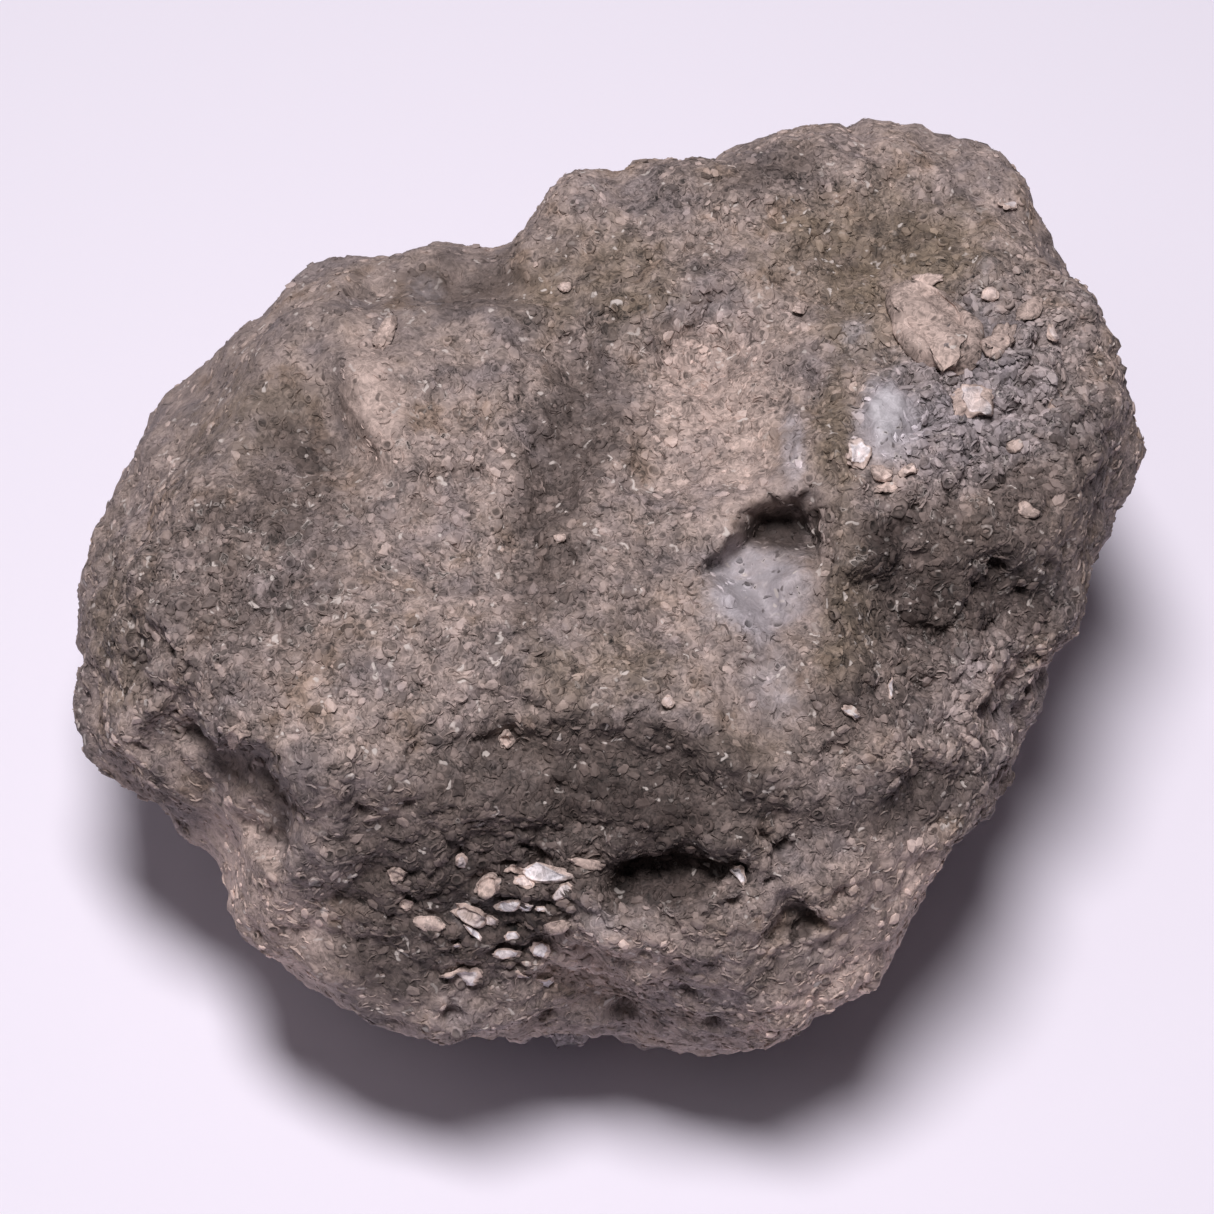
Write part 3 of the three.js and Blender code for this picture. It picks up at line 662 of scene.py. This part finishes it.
scraps = [  # right, up, half length, half width, turn, tone, height of the rim round its middle
    (15.3, 12.7, 2.6, 1.7, -37, 0.32, 0.9), (17.0, 9.3, 0.95, 0.75, 10, 0.75, 0.5),
    (11.6, 6.7, 0.62, 0.56, 0, 0.85, 0.2),
    (12.7, 5.9, 0.55, 0.33, -30, 0.6, 0.0), (14.9, 15.0, 0.8, 0.3, 10, 0.4, 0.0),
    (17.8, 14.3, 0.42, 0.33, 0, 0.6, 0.0), (19.7, 13.6, 0.7, 0.4, 30, 0.4, 0.0),
    (18.3, 12.0, 0.9, 0.5, 40, 0.45, 0.3), (20.7, 12.5, 0.42, 0.3, 90, 0.7, 0.0),
    (18.6, 18.6, 0.42, 0.24, -20, 0.75, 0.0), (8.9, 13.6, 0.4, 0.3, 0, 0.5, 0.0),
    (14.0, 6.0, 0.5, 0.3, 20, 0.6, 0.0), (12.9, 5.2, 0.6, 0.26, 10, 0.5, 0.0),
    (20.9, 9.4, 0.5, 0.3, 60, 0.5, 0.0),
    (18.9, 7.2, 0.45, 0.32, 10, 0.5, 0.0), (19.6, 4.2, 0.5, 0.34, -30, 0.5, 0.0),
    (-3.0, -12.9, 1.2, 0.44, -3, 0.9, 0.2), (-4.0, -13.3, 0.5, 0.25, -15, 0.75, 0.0),
    (-2.2, -13.7, 0.46, 0.28, 35, 0.7, 0.0), (-4.7, -14.3, 0.66, 0.2, 8, 0.85, 0.0),
    (-3.9, -14.4, 0.28, 0.2, 0, 1.0, 0.0), (-3.2, -14.5, 0.28, 0.12, -10, 0.8, 0.0),
    (-6.6, -14.8, 0.82, 0.43, -25, 0.7, 0.3), (-6.5, -15.6, 0.56, 0.14, -40, 0.95, 0.0),
    (-5.6, -15.1, 0.36, 0.25, 0, 0.65, 0.0), (-8.5, -15.2, 0.8, 0.28, -8, 0.55, 0.0),
    (-4.6, -15.7, 0.36, 0.12, 0, 0.8, 0.0), (-4.9, -16.6, 0.7, 0.17, 0, 0.75, 0.0),
    (-3.3, -16.4, 0.48, 0.3, 0, 0.85, 0.0), (-7.1, -17.7, 1.05, 0.38, 10, 0.75, 0.2),
    (-5.4, -17.7, 0.5, 0.2, 0, 0.85, 0.0), (-4.2, -17.8, 0.5, 0.34, -20, 0.7, 0.0),
    (-3.2, -18.0, 0.8, 0.22, 20, 0.85, 0.0), (-6.3, -18.6, 0.62, 0.18, -15, 0.7, 0.0),
    (-6.0, -19.1, 0.45, 0.16, 0, 0.6, 0.0), (-7.2, -16.1, 0.2, 0.12, 0, 0.8, 0.0),
    (-7.0, -12.2, 0.4, 0.32, 90, 0.75, 0.0), (-9.6, -14.3, 0.34, 0.2, -15, 0.5, 0.0),
    (-1.1, -12.4, 0.8, 0.23, -12, 0.55, 0.0), (-5.7, -13.4, 0.68, 0.4, 20, 0.45, 0.4),
    (-4.4, -12.7, 0.5, 0.25, 0, 0.45, 0.0), (-2.4, -15.3, 0.55, 0.3, 0, 0.4, 0.0),
    (-10.0, -12.9, 0.45, 0.34, 0, 0.3, 0.2), (-3.6, -20.0, 0.25, 0.22, 0, 0.9, 0.0),
    (11.3, -5.3, 0.5, 0.3, -30, 0.8, 0.0), (13.1, -4.2, 0.45, 0.14, 100, 0.9, 0.0),
    (-17.4, -6.3, 0.5, 0.45, 0, 0.45, 0.3), (6.1, -12.9, 0.5, 0.22, 120, 0.8, 0.0),
    (12.5, -13.2, 0.3, 0.3, 0, 0.6, 0.0), (11.9, -13.8, 0.34, 0.18, 90, 0.8, 0.0),
    (-4.9, -6.6, 0.45, 0.35, 80, 0.5, 0.3), (2.7, -4.9, 0.38, 0.33, 0, 0.65, 0.0),
    (-2.3, 2.8, 0.28, 0.2, 0, 0.6, 0.0), (-3.6, 15.9, 0.28, 0.22, 90, 0.6, 0.0),
    (-2.1, 14.7, 0.28, 0.24, 0, 0.6, 0.0), (-10.6, 12.4, 0.9, 0.4, 60, 0.35, 0.0),
]

scrapShape = {
    "steps": 10,  # grid steps of each scrap
    "thickness": 0.42,  # share of its half width
    "raised": 0.14,  # mm that its middle is out of the skin
    "ragged": 0.34,  # share that its outline goes in and out
    "outline": [(1.0, 1.0, 81), (0.45, 0.5, 82)],  # size, share and pattern of that noise
    "dimples": [(0.8, 0.2, 83), (0.35, 0.12, 84)],  # size, height and pattern of the noise on it
    "rim": (0.82, 0.16),  # middle and half width of its rim, as shares of its radius
    "settle": 0.28,  # mm over which the stone's skin is averaged under it
    "sunk": 0.3,  # mm that the skin sinks round it
}


# 0 on a scrap and 1 clear of them all, the product of what each scrap leaves over; reach widens them.
def clearOfScraps(points, reach=1.0):
    right, up = mapPlace(points)
    clear = np.ones(len(points))
    for x, y, half, width, turn, _, _ in scraps:
        clear = clear * (1 - lumpRise(right, up, (x, y), (half * reach, width * reach), turn, 1))
    return clear


# Height over the plain form. Swell is gradient noise. Clods are cells whose borders are creases and
# which stand at different heights. Pits are bowls at the middle of some cells.
def reliefHeight(points, strengths, s):
    height = sum(rise * slopes(points, size, pattern) for size, rise, pattern in s["swell"])
    wander, across = s["bend"]
    bent = points + wander * np.stack([slopes(points, across, k) for k in (51, 52, 53)], axis=1)
    for size, rise, pattern in s["clods"]:
        first, second, owner = cells(bent, size, pattern)
        dome = smoothStep(second - first, 0, 0.5) - 0.75 + s["clodStep"] * (owner - 0.5)
        height = height + strengths["crumbly"] * rise * dome
    for size, often, radius, pattern in s["pits"]:
        first, second, owner = cells(points, size, pattern)
        wide = radius * (0.55 + 0.9 * owner)
        chosen = (owner * 7.3) % 1 < often * strengths["porous"]
        bowl = np.sqrt(np.clip(1 - (first / wide) ** 2, 0, 1))
        height = height - np.where(chosen, bowl * wide * size * s["pitDepth"], 0)
    height = height * (1 - s["calmed"] * strengths["smooth"] ** 2)
    besideScraps = 1 - clearOfScraps(points, s["besideScraps"])
    return height - scrapShape["sunk"] * besideScraps * (points[:, 2] > 0)


# Mean of each corner's neighbours along the grid.
def neighbourMean(values, quads):
    total = np.zeros_like(values)
    for k in range(4):
        for other in ((k + 1) % 4, (k + 3) % 4):
            for axis in range(values.shape[1]):
                total[:, axis] += np.bincount(quads[:, k], values[quads[:, other], axis], len(values))
    return total / (2 * np.bincount(quads.ravel(), minlength=len(values)))[:, None]


# How hollow the surface is: the height of the neighbours over each corner, in steps of the grid, then
# averaged with the neighbours' in a few rounds. The material darkens the hollows with it, as painted
# shade.
def hollowness(points, quads, rounds=3):
    normals = cornerNormals(points, quads)
    gap = neighbourMean(points, quads) - points
    step = np.linalg.norm(points[quads[:, 0]] - points[quads[:, 2]], axis=1).mean()
    hollow = np.sum(gap * normals, axis=1)[:, None] / step
    for _ in range(rounds):
        hollow = neighbourMean(hollow, quads)
    return hollow[:, 0]


glassLook = {
    "grey": paint(133, 120, 117),
    "warm": paint(154, 138, 131),
    "pale": paint(183, 163, 154),
    "bluish": paint(176, 169, 174),
    "milky": paint(196, 192, 196),
    # dark grey glass, also painted shade under the front ledge and in hollows
    "darkGlassAndShade": paint(89, 78, 74),
    "olive": paint(114, 100, 85),
    # painted shade: the very dark brown of the deep zone, in caves and hollows
    "deep": paint(64, 54, 51),
    "umber": paint(118, 98, 82),
    "slate": paint(121, 116, 121),
    "whiteGrain": paint(206, 196, 190),
    # dark grains, also used as painted shade in the holes and hollows
    "darkGrainAndShade": paint(58, 49, 46),
    "sizes": {"stain": 3.0, "edge": 1.9, "cloud": 0.9, "mottle": 4.5, "coarse": 0.75, "fine": 0.4},  # mm
    "contrast": {"coarse": 0.4, "fine": 0.28, "cloud": 1.1, "strands": 0.38, "mottle": 0.75},
    "calmer": {"bluish": 0.5, "smooth": 0.45, "rim": 0.35},  # share of the contrast that these zones lose
    "brightness": 0.905,
    "raggedness": 1.2,  # how far noise moves the zones' edges
    "coverage": 0.9,  # share of a zone's own colour at its full strength
    # hole and hollow are painted shade; lip and ridge lighten rims and ridges
    "spots": {"white": 0.8, "dark": 0.7, "lip": 0.3, "hole": 0.65, "hollow": 0.5, "ridge": 0.2},  # shares
    "edgePaintedLight": 0.22,  # painted light: brightness added at the stone's edge
    "loosePaintedLight": 0.3,  # painted light added to loose grains where the glass is crumbly, against the shade the crumbs cast
    "roughness": 0.8,
    "gloss": 0.25,  # roughness that bluish glass loses
    "specular": 0.35,
    "bump": 0.00009,  # metres from the lowest to the highest grain
}

zoneEdges = [  # zone whose colour is laid over those before it, strengths where it starts and is full
    ("olive", 0.2, 0.9),
    ("darkGlassAndShade", 0.2, 0.85),
    ("pale", 0.15, 0.85),
    ("bluish", 0.15, 0.95),
    ("milky", 0.3, 1.2),
    # deep is painted shade, laid over all the rest
    ("deep", 0.15, 0.7),
]


# Zones of colour with ragged edges are mixed one over the other, the last of them painted shade. The
# result is scaled by a brightness, the sum of grains, cloud and strands times their contrast, with painted
# light at the stone's edge. Scattered white and dark grains, bubbles with painted shade in their holes,
# and painted shade in the hollows are mixed over that.
def glassMaterial(s):
    material, wire = newMaterial("frothy glass")
    place = wire.node("TexCoord", {}, {}, "Object").scale(1 / toMetres)
    size, contrast, spots = s["sizes"], s["contrast"], s["spots"]

    # The number that a corner mark has at this spot.
    def mark(name):
        return wire.node("Attribute", {"attribute_name": name}, {}, "Fac")

    # A colour of the glass, with an opaque alpha.
    def shade(name):
        return (*s[name], 1)

    stain = place.noise(size["stain"], 3, 0.65)
    mix = {0: stain.step(0.38, 0.6), 6: shade("grey"), 7: shade("warm")}
    colour = wire.node("Mix", {"data_type": "RGBA"}, mix, 2)
    colour = colour.towards(shade("umber"), stain.step(0.55, 0.7) * 0.6)
    colour = colour.towards(shade("slate"), stain.step(0.45, 0.32) * 0.2)
    colour = colour.towards(shade("slate"), mark("crumbly").step(0.4, 0.95) * 0.6)
    ragged = s["raggedness"] * (place.noise(size["edge"], 4, 0.65) - 0.5)
    for name, low, high in zoneEdges:
        colour = colour.towards(shade(name), (mark(name) + ragged).step(low, high) * s["coverage"])

    # two sizes of grain are the cells of a bent lattice, each with its own brightness
    drift = place.node("TexNoise", {}, {"Vector": place, "Scale": 2.2, "Detail": 0.0}, "Color")
    bent = place.vector("ADD", drift.vector("SUBTRACT", (0.5, 0.5, 0.5)).scale(0.9))
    grain = bent.voronoi(size["coarse"])
    coarse, wide, _ = grain.also("Color").channels()
    fleck = bent.voronoi(size["fine"])
    fine, pick, _ = fleck.also("Color").channels()
    cloud = place.noise(size["cloud"], 2, 0.6) - 0.5
    mottle = place.noise(size["mottle"], 2, 0.5) - 0.5

    # Curled lines where a warped noise crosses its middle value.
    def strands(across, warp):
        return (place.noise(across, 1.0, 0.5, warp) - 0.5).maths("ABSOLUTE").step(0.07, 0.0)

    strand = strands(0.6, 1.3) - strands(0.5, 1.2)
    grit = 1.0 + 0.4 * mark("crumbly")
    for name, lost in s["calmer"].items():
        grit = grit - lost * mark(name)
    grit = grit * (1 - 0.65 * mark("loose"))
    bright = (coarse - 0.5) * contrast["coarse"] + (fine - 0.5) * contrast["fine"]
    bright = bright + cloud * contrast["cloud"] + strand * contrast["strands"]
    bright = grit * bright + mark("tone") + mark("crumbly") * (s["loosePaintedLight"] * mark("loose"))
    bright = bright + s["edgePaintedLight"] * mark("rim") + contrast["mottle"] * mottle + s["brightness"]
    colour = colour.scale(bright)
    height = grit * (coarse * 0.6 * grain.step(0.6, 0.1) + cloud * 1.3)

    white = pick.step(0.9, 0.98) * fleck.step(0.5, 0.25)
    dark = pick.step(0.16, 0.06) * fleck.step(0.5, 0.2)
    colour = colour.towards(shade("whiteGrain"), white * spots["white"])
    colour = colour.towards(shade("darkGrainAndShade"), dark * spots["dark"])

    # small open bubbles, more of them where the glass is porous: each hole is painted shade, with a
    # lighter lip round it
    wide = (wide - 1 + 0.7 * mark("porous")).step(0.0, 0.7) * 0.3
    inside = grain - wide
    hole = inside.step(0.02, -0.05) * wide.step(0.01, 0.06)
    lip = inside.step(0.18, 0.04) * wide.step(0.01, 0.06)
    colour = colour.towards(shade("whiteGrain"), lip * spots["lip"])
    colour = colour.towards(shade("darkGrainAndShade"), hole * spots["hole"])
    height = height - hole * 1.2

    # painted shade: darker where the skin is hollow; lighter on ridges
    hollow = mark("hollow")
    colour = colour.towards(shade("darkGrainAndShade"), hollow.step(0.03, 0.3) * spots["hollow"])
    colour = colour.towards(shade("whiteGrain"), hollow.step(-0.04, -0.3) * spots["ridge"])
    roughness = s["roughness"] - s["gloss"] * mark("bluish")
    finishMaterial(wire, colour, roughness, s["specular"], height * s["bump"])
    return material


stoneShape = {
    "steps": 128,  # grid steps along each edge of the blown-up cube
    "lead": 0.4,  # how far the grid crowds towards the face
    "turn": math.radians(-20),  # keeps the cube's edges off the caves
}


# The stone's skin: the main form plus the relief's height along its own outward direction, worn flat
# underneath. Its corners carry the zones' strengths and how hollow the skin is there, for painted shade.
def makeStone(s, material):
    directions, quads = cubeSkin(s["steps"], s["lead"], s["turn"])
    points = mainForm(directions)
    strengths = zoneStrengths(points)
    height = reliefHeight(points, strengths, fineRelief)
    points = wornFlat(points + cornerNormals(points, quads) * height[:, None])
    marks = {**strengths, "hollow": hollowness(points, quads)}
    stone = meshPiece("stone", standing(points), quads, material, marks)
    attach(stone, stoneBody)
    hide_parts(stoneNode)
    return points, quads, marks


# Places on a skin of quads: count of them, drawn by area times weight and even over each quad. Each has
# the normal and the number of its quad's first corner.
def scatter(points, normals, quads, weights, count, rng):
    a, b, c, d = (points[quads[:, k]] for k in range(4))
    area = np.linalg.norm(np.cross(c - a, d - b), axis=1) * weights[quads[:, 0]]
    chosen = quads[rng.choice(len(quads), count, p=area / area.sum())]
    u, v = rng.random((2, count, 1))
    spot = (1 - u) * ((1 - v) * points[chosen[:, 0]] + v * points[chosen[:, 3]])
    spot = spot + u * ((1 - v) * points[chosen[:, 1]] + v * points[chosen[:, 2]])
    return spot, normals[chosen[:, 0]], chosen[:, 0]


# Copies of one small closed shape: each is stretched by its own three sizes along the surface, across it
# and out of it, laid on its spot, and has every corner pushed in or out by up to the given unevenness.
def planted(shape, faces, spots, normals, sizes, along, rng, uneven):
    along = unit(along - np.sum(along * normals, axis=1, keepdims=True) * normals)
    across = np.cross(normals, along)
    count, corners = len(spots), len(shape)
    local = shape[None] * (1 + uneven * (rng.random((count, corners, 1)) * 2 - 1)) * sizes[:, None, :]
    placed = spots[:, None] + local[..., :1] * along[:, None] + local[..., 1:2] * across[:, None]
    placed = placed + local[..., 2:] * normals[:, None]
    every = faces[None] + corners * np.arange(count)[:, None, None]
    return placed.reshape(-1, 3), every.reshape(-1, faces.shape[1])


# Each small shape below gives its corners, its triangles and the brightness added at each corner. This
# one is an icosahedron of radius 1, from the golden ratio g.
def crystal():
    g = (1 + math.sqrt(5)) / 2
    corners = [(-1, g, 0), (1, g, 0), (-1, -g, 0), (1, -g, 0), (0, -1, g), (0, 1, g)]
    corners += [(0, -1, -g), (0, 1, -g), (g, 0, -1), (g, 0, 1), (-g, 0, -1), (-g, 0, 1)]
    faces = [(0, 11, 5), (0, 5, 1), (0, 1, 7), (0, 7, 10), (0, 10, 11), (1, 5, 9), (5, 11, 4)]
    faces += [(11, 10, 2), (10, 7, 6), (7, 1, 8), (3, 9, 4), (3, 4, 2), (3, 2, 6), (3, 6, 8)]
    faces += [(3, 8, 9), (4, 9, 5), (2, 4, 11), (6, 2, 10), (8, 6, 7), (9, 8, 1)]
    return unit(np.array(corners, float)), np.array(faces), np.zeros(12)


# A curled flake 2 long: two tips and three triangular rings on an arc.
def curl():
    across = np.array([(0, 1), (-0.87, -0.5), (0.87, -0.5)])
    corners = [(-1, -0.45, -0.1), (1, -0.45, -0.1)]
    for x, y, wide in ((-0.6, 0.05, 0.17), (0, 0.3, 0.24), (0.6, 0.05, 0.17)):
        corners += [(x * (1 + 0.3 * a * wide), y + a * wide, b * wide + 0.1) for a, b in across]
    faces = [(0, 2 + k, 2 + (k + 1) % 3) for k in range(3)]
    faces += [(1, 8 + (k + 1) % 3, 8 + k) for k in range(3)]
    for ring in (2, 5):
        for k in range(3):
            a, b = ring + k, ring + (k + 1) % 3
            faces += [(a, a + 3, b), (b, a + 3, b + 3)]
    return np.array(corners, float), np.array(faces), np.zeros(len(corners))


# One flat scrap that follows the skin under it: each corner of a small sphere is moved to the averaged
# skin at its own place on the map, then out of it by the scrap's thickness, which the rim raises and
# the middle lowers, and by gradient noise.
def scrapPoints(s, shape, number, row, seen, points, normals):
    right, up, half, width, turn, tone, rim = row
    cosine, sine = math.cos(math.radians(turn)), math.sin(math.radians(turn))
    out = np.hypot(shape[:, 0], shape[:, 1])
    rough = 1.4 * shape + np.array([5.0 * number, 0, 0])
    wander = sum(part * slopes(rough, size, pattern) for size, part, pattern in s["outline"])
    wander = 1 + s["ragged"] / max(1, half) ** 1.5 * wander
    along, over = shape[:, 0] * half * wander, shape[:, 1] * width * wander
    place = np.stack([right + along * cosine - over * sine, up + along * sine + over * cosine], axis=1)
    near = np.hypot(seen[:, 0] - right, seen[:, 1] - up) < half * 1.5 + 4 * s["settle"]
    gap = np.linalg.norm(place[:, None] - seen[near][None], axis=2)
    weights = np.exp(-((gap / s["settle"]) ** 2)) + 1e-9
    weights = weights / weights.sum(axis=1, keepdims=True)
    base, outward = weights @ points[near], unit(weights @ normals[near])
    middle, reach = s["rim"]
    raised = rim * (np.exp(-(((out - middle) / reach) ** 2)) - 0.4)
    height = s["raised"] + shape[:, 2] * s["thickness"] * width
    height = height + (shape[:, 2] > 0) * 0.5 * raised
    for size, rise, pattern in s["dimples"]:
        height = height + rise * slopes(base, size, pattern)
    # its tone is lighter on the raised rim, a painted highlight, and lower in the middle and round its
    # outer edge
    return base + outward * height[:, None], tone + 0.4 * raised - 0.3 * (out > 0.8)


# All scraps as one mesh, from one small sphere that scrapPoints shapes for each row.
def makeScraps(s, points, normals, material):
    seen = np.stack(mapPlace(points), axis=1)
    seen = np.where((normals[:, 2] > 0.1)[:, None], seen, 999)
    shape, faces = cubeSkin(s["steps"])
    made = [scrapPoints(s, shape, k, row, seen, points, normals) for k, row in enumerate(scraps)]
    placed, tone = (np.concatenate(part) for part in zip(*made))
    quads = [faces + k * len(shape) for k in range(len(scraps))]
    placed = wornFlat(placed)
    whole = np.ones(len(placed))
    marks = {"tone": 0.8 * tone - 0.2, "pale": whole, "milky": 2 * tone - 0.7, "loose": 0.25 * whole}
    dress(meshPiece("mineral_scraps", standing(placed), np.concatenate(quads), material, marks))


# Every added piece rides on the stone's body; its finish, the stone's glass, is given when its mesh is
# made.
def dress(piece):
    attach(piece, stoneBody)


# An open bubble: a dish inside a raised ring, closed underneath. Its dish is darkened as painted shade
# for the depth of the hole, and its ring is lightened.
def openBubble():
    turns = np.arange(8) * math.pi / 4
    corners, shades = [(0, 0, 0.06)], [-0.6]
    for radius, height, shade in ((0.5, 0.1, -0.5), (0.82, 0.34, 0.2), (1.1, -0.3, 0.0)):
        corners += [(radius * math.cos(t), radius * math.sin(t), height) for t in turns]
        shades += [shade] * 8
    corners, shades = corners + [(0, 0, -0.6)], shades + [0.0]
    faces = []
    for k in range(8):
        n = (k + 1) % 8
        faces += [(0, 1 + k, 1 + n), (25, 17 + n, 17 + k)]
        for ring in (1, 9):
            faces += [(ring + k, ring + 8 + k, ring + 8 + n), (ring + k, ring + 8 + n, ring + n)]
    return np.array(corners), np.array(faces), np.array(shades)


vents = [  # bubbles that stand out: right, up, half width
    (6.0, 1.8, 0.3), (6.25, 1.25, 0.26), (5.8, 0.8, 0.24), (6.4, 0.7, 0.24), (5.0, 1.65, 0.17),
    (4.6, 0.3, 0.15), (9.3, 5.7, 0.3), (10.2, 3.9, 0.3), (6.5, -1.2, 0.36), (7.8, -1.3, 0.3),
    (13.5, 4.1, 0.45), (3.8, -3.8, 0.36), (2.0, 6.0, 0.42), (13.5, 2.8, 0.36), (-8.7, 8.8, 0.36),
    (-7.7, 8.7, 0.32), (-10.8, 8.9, 0.3), (-12.2, 0.5, 0.45), (7.5, 11.3, 0.28), (6.0, 11.2, 0.28),
    (-13.2, -2.4, 0.36), (-6.0, -12.4, 0.3), (12.2, 3.5, 0.36), (11.9, 5.6, 0.26), (17.6, 3.1, 0.34),
    (13.1, -0.2, 0.36), (17.4, 4.6, 0.28), (-6.9, 4.4, 0.34), (-3.4, 9.4, 0.3),
]

# reach is the range of half lengths in mm, flatness the shares of them that width and height take, tones
# the range of brightness added to the glass, and crowding the zones that draw the grains
grainSets = {
    "pale_curls": {
        "shape": curl, "count": 9900, "reach": (0.14, 0.44), "flatness": (0.7, 0.7),
        "tones": (0.05, 0.42), "crowding": {"crumbly": 0.6, "porous": 0.6},
    },
    "dark_curls": {
        "shape": curl, "count": 9900, "reach": (0.14, 0.38), "flatness": (0.8, 0.7),
        "tones": (-0.4, -0.1), "crowding": {"crumbly": 0.6, "olive": 0.5},
    },
    "grains": {
        "shape": crystal, "count": 9900, "reach": (0.08, 0.22), "flatness": (0.7, 0.45),
        "tones": (-0.35, 0.4), "crowding": {"darkGlassAndShade": 0.6, "porous": 0.6},
    },
    "crumbs": {
        "shape": crystal, "count": 9000, "reach": (0.12, 0.42), "flatness": (0.65, 0.4),
        "tones": (-0.45, 0.85), "crowding": {"crumbly": 3.0},
    },
    "bubbles": {
        "shape": openBubble, "count": 1200, "reach": (0.14, 0.38), "flatness": (0.85, 1.0),
        "tones": (-0.12, 0.15), "crowding": {"porous": 2.0}, "placed": vents,
    },
}

grainSpread = {
    "everywhere": 0.35,  # weight that every place has before crowding
    "keptOff": {"bluish": 0.8, "smooth": 0.85, "rim": 0.75},  # share of the grains that these zones lose
    "shorterAtRim": 0.4,  # share of its length that a grain loses at the stone's edge
    "uneven": 0.2,  # share that a grain's corners are pushed in or out
}


# How likely a grain is at each corner: the crowding zones' strengths squared, less on the zones that are
# kept off and on scraps, and up to twice as likely on the face.
def grainWeights(crowding, points, normals, marks):
    weights = grainSpread["everywhere"] + sum(part * marks[zone] ** 2 for zone, part in crowding.items())
    for zone, lost in grainSpread["keptOff"].items():
        weights = weights * (1 - lost * marks[zone])
    return weights * clearOfScraps(points) * (1 + smoothStep(normals[:, 2], -0.2, 0.3))


# Grains lie on the skin with a length that is more often short, the square of a random share of the
# range. They keep the zones of the place they lie on, so the glass material colours them as it colours
# the skin round them, lighter or darker. Placed ones take the first spots, at the nearest corner.
def makeGrains(name, s, points, normals, quads, marks, material, rng):
    count, reach, tones, placedOnes = s["count"], s["reach"], s["tones"], s.get("placed", [])
    weights = grainWeights(s["crowding"], points, normals, marks)
    spots, outward, nearest = scatter(points, normals, quads, weights, count, rng)
    length = reach[0] + (reach[1] - reach[0]) * rng.random(count) ** 2
    length = length * (1 - grainSpread["shorterAtRim"] * marks["rim"][nearest])
    if placedOnes:
        right, up = mapPlace(points)
        hidden = np.where(normals[:, 2] > 0.1, 0, 999)
        found = [np.argmin(np.hypot(right - x, up - y) + hidden) for x, y, _ in placedOnes]
        first = slice(len(found))
        spots[first], outward[first], nearest[first] = points[found], normals[found], found
        length[first] = [wide for _, _, wide in placedOnes]
    sizes = length[:, None] * np.array([1.0, *s["flatness"]])
    along = rng.normal(size=(count, 3))
    shape, faces, shades = s["shape"]()
    uneven = grainSpread["uneven"]
    placed, triangles = planted(shape, faces, spots, outward, sizes, along, rng, uneven)
    marks = {zone: np.repeat(values[nearest], len(shape)) for zone, values in marks.items()}
    tone = tones[0] + (tones[1] - tones[0]) * rng.random(count)
    marks["tone"] = (tone[:, None] + shades[None]).ravel()
    marks["loose"] = np.ones(len(placed))
    smooth = s["shape"] is openBubble
    dress(meshPiece(name, standing(wornFlat(placed)), triangles, material, marks, smooth))


stoneGlass = glassMaterial(glassLook)
skin, skinQuads, skinMarks = makeStone(stoneShape, stoneGlass)
skinNormals = cornerNormals(skin, skinQuads)
print("stone made")

makeScraps(scrapShape, skin, skinNormals, stoneGlass)
draws = np.random.default_rng(472)  # a fixed seed, so each run places the same grains
for name, s in grainSets.items():
    makeGrains(name, s, skin, skinNormals, skinQuads, skinMarks, stoneGlass, draws)
print("minerals made")


studio = {
    "floor": paint(244, 239, 251),
    "floorSize": 4000.0,  # mm along each side
    "roughness": 0.9,
    "specular": 0.2,
    "lamps": {  # direction it is in, distance, width and height in metres, watts
        "key": ((-0.05, -0.055, 1.0), 0.28, 0.104, 0.06, 0.73),
        "side": ((-0.45, -0.2, 0.87), 0.6, 0.3, 0.3, 0.15),
    },
    "lampColour": (1.0, 0.965, 0.985),
    "world": (0.80, 0.76, 0.88),
    "worldStrength": 0.06,
}


# A plain square under the stone, in the resting plane.
def makeFloor(s):
    material, wire = newMaterial("paper")
    finishMaterial(wire, (*s["floor"], 1), s["roughness"], s["specular"])
    half = s["floorSize"] / 2
    corners = np.array([[-half, -half, 0], [half, -half, 0], [half, half, 0], [-half, half, 0]])
    floor = meshPiece("floor", corners, np.array([[0, 1, 2, 3]]), material, smooth=False)


# Each lamp is an ellipse at its distance along its direction, turned to face the stone. The world gives
# a faint light from all sides.
def makeLights(s):
    for name, (direction, distance, width, height, power) in s["lamps"].items():
        data = bpy.data.lights.new(name, "AREA")
        data.shape = "ELLIPSE"
        data.size, data.size_y, data.energy, data.color = width, height, power, s["lampColour"]
        lamp = bpy.data.objects.new(name, data)
        bpy.context.scene.collection.objects.link(lamp)
        x, y, z = unit(np.array(direction))
        lamp.location = (x * distance, y * distance, z * distance)
        lamp.rotation_euler = (math.acos(z), 0, math.atan2(x, -y))
    world = bpy.data.worlds.new("studio")
    world.use_nodes = True
    background = world.node_tree.nodes["Background"]
    background.inputs["Color"].default_value = (*s["world"], 1)
    background.inputs["Strength"].default_value = s["worldStrength"]
    bpy.context.scene.world = world


makeFloor(studio)
makeLights(studio)
bpy.context.scene.view_settings.view_transform = "Standard"
print("studio made")
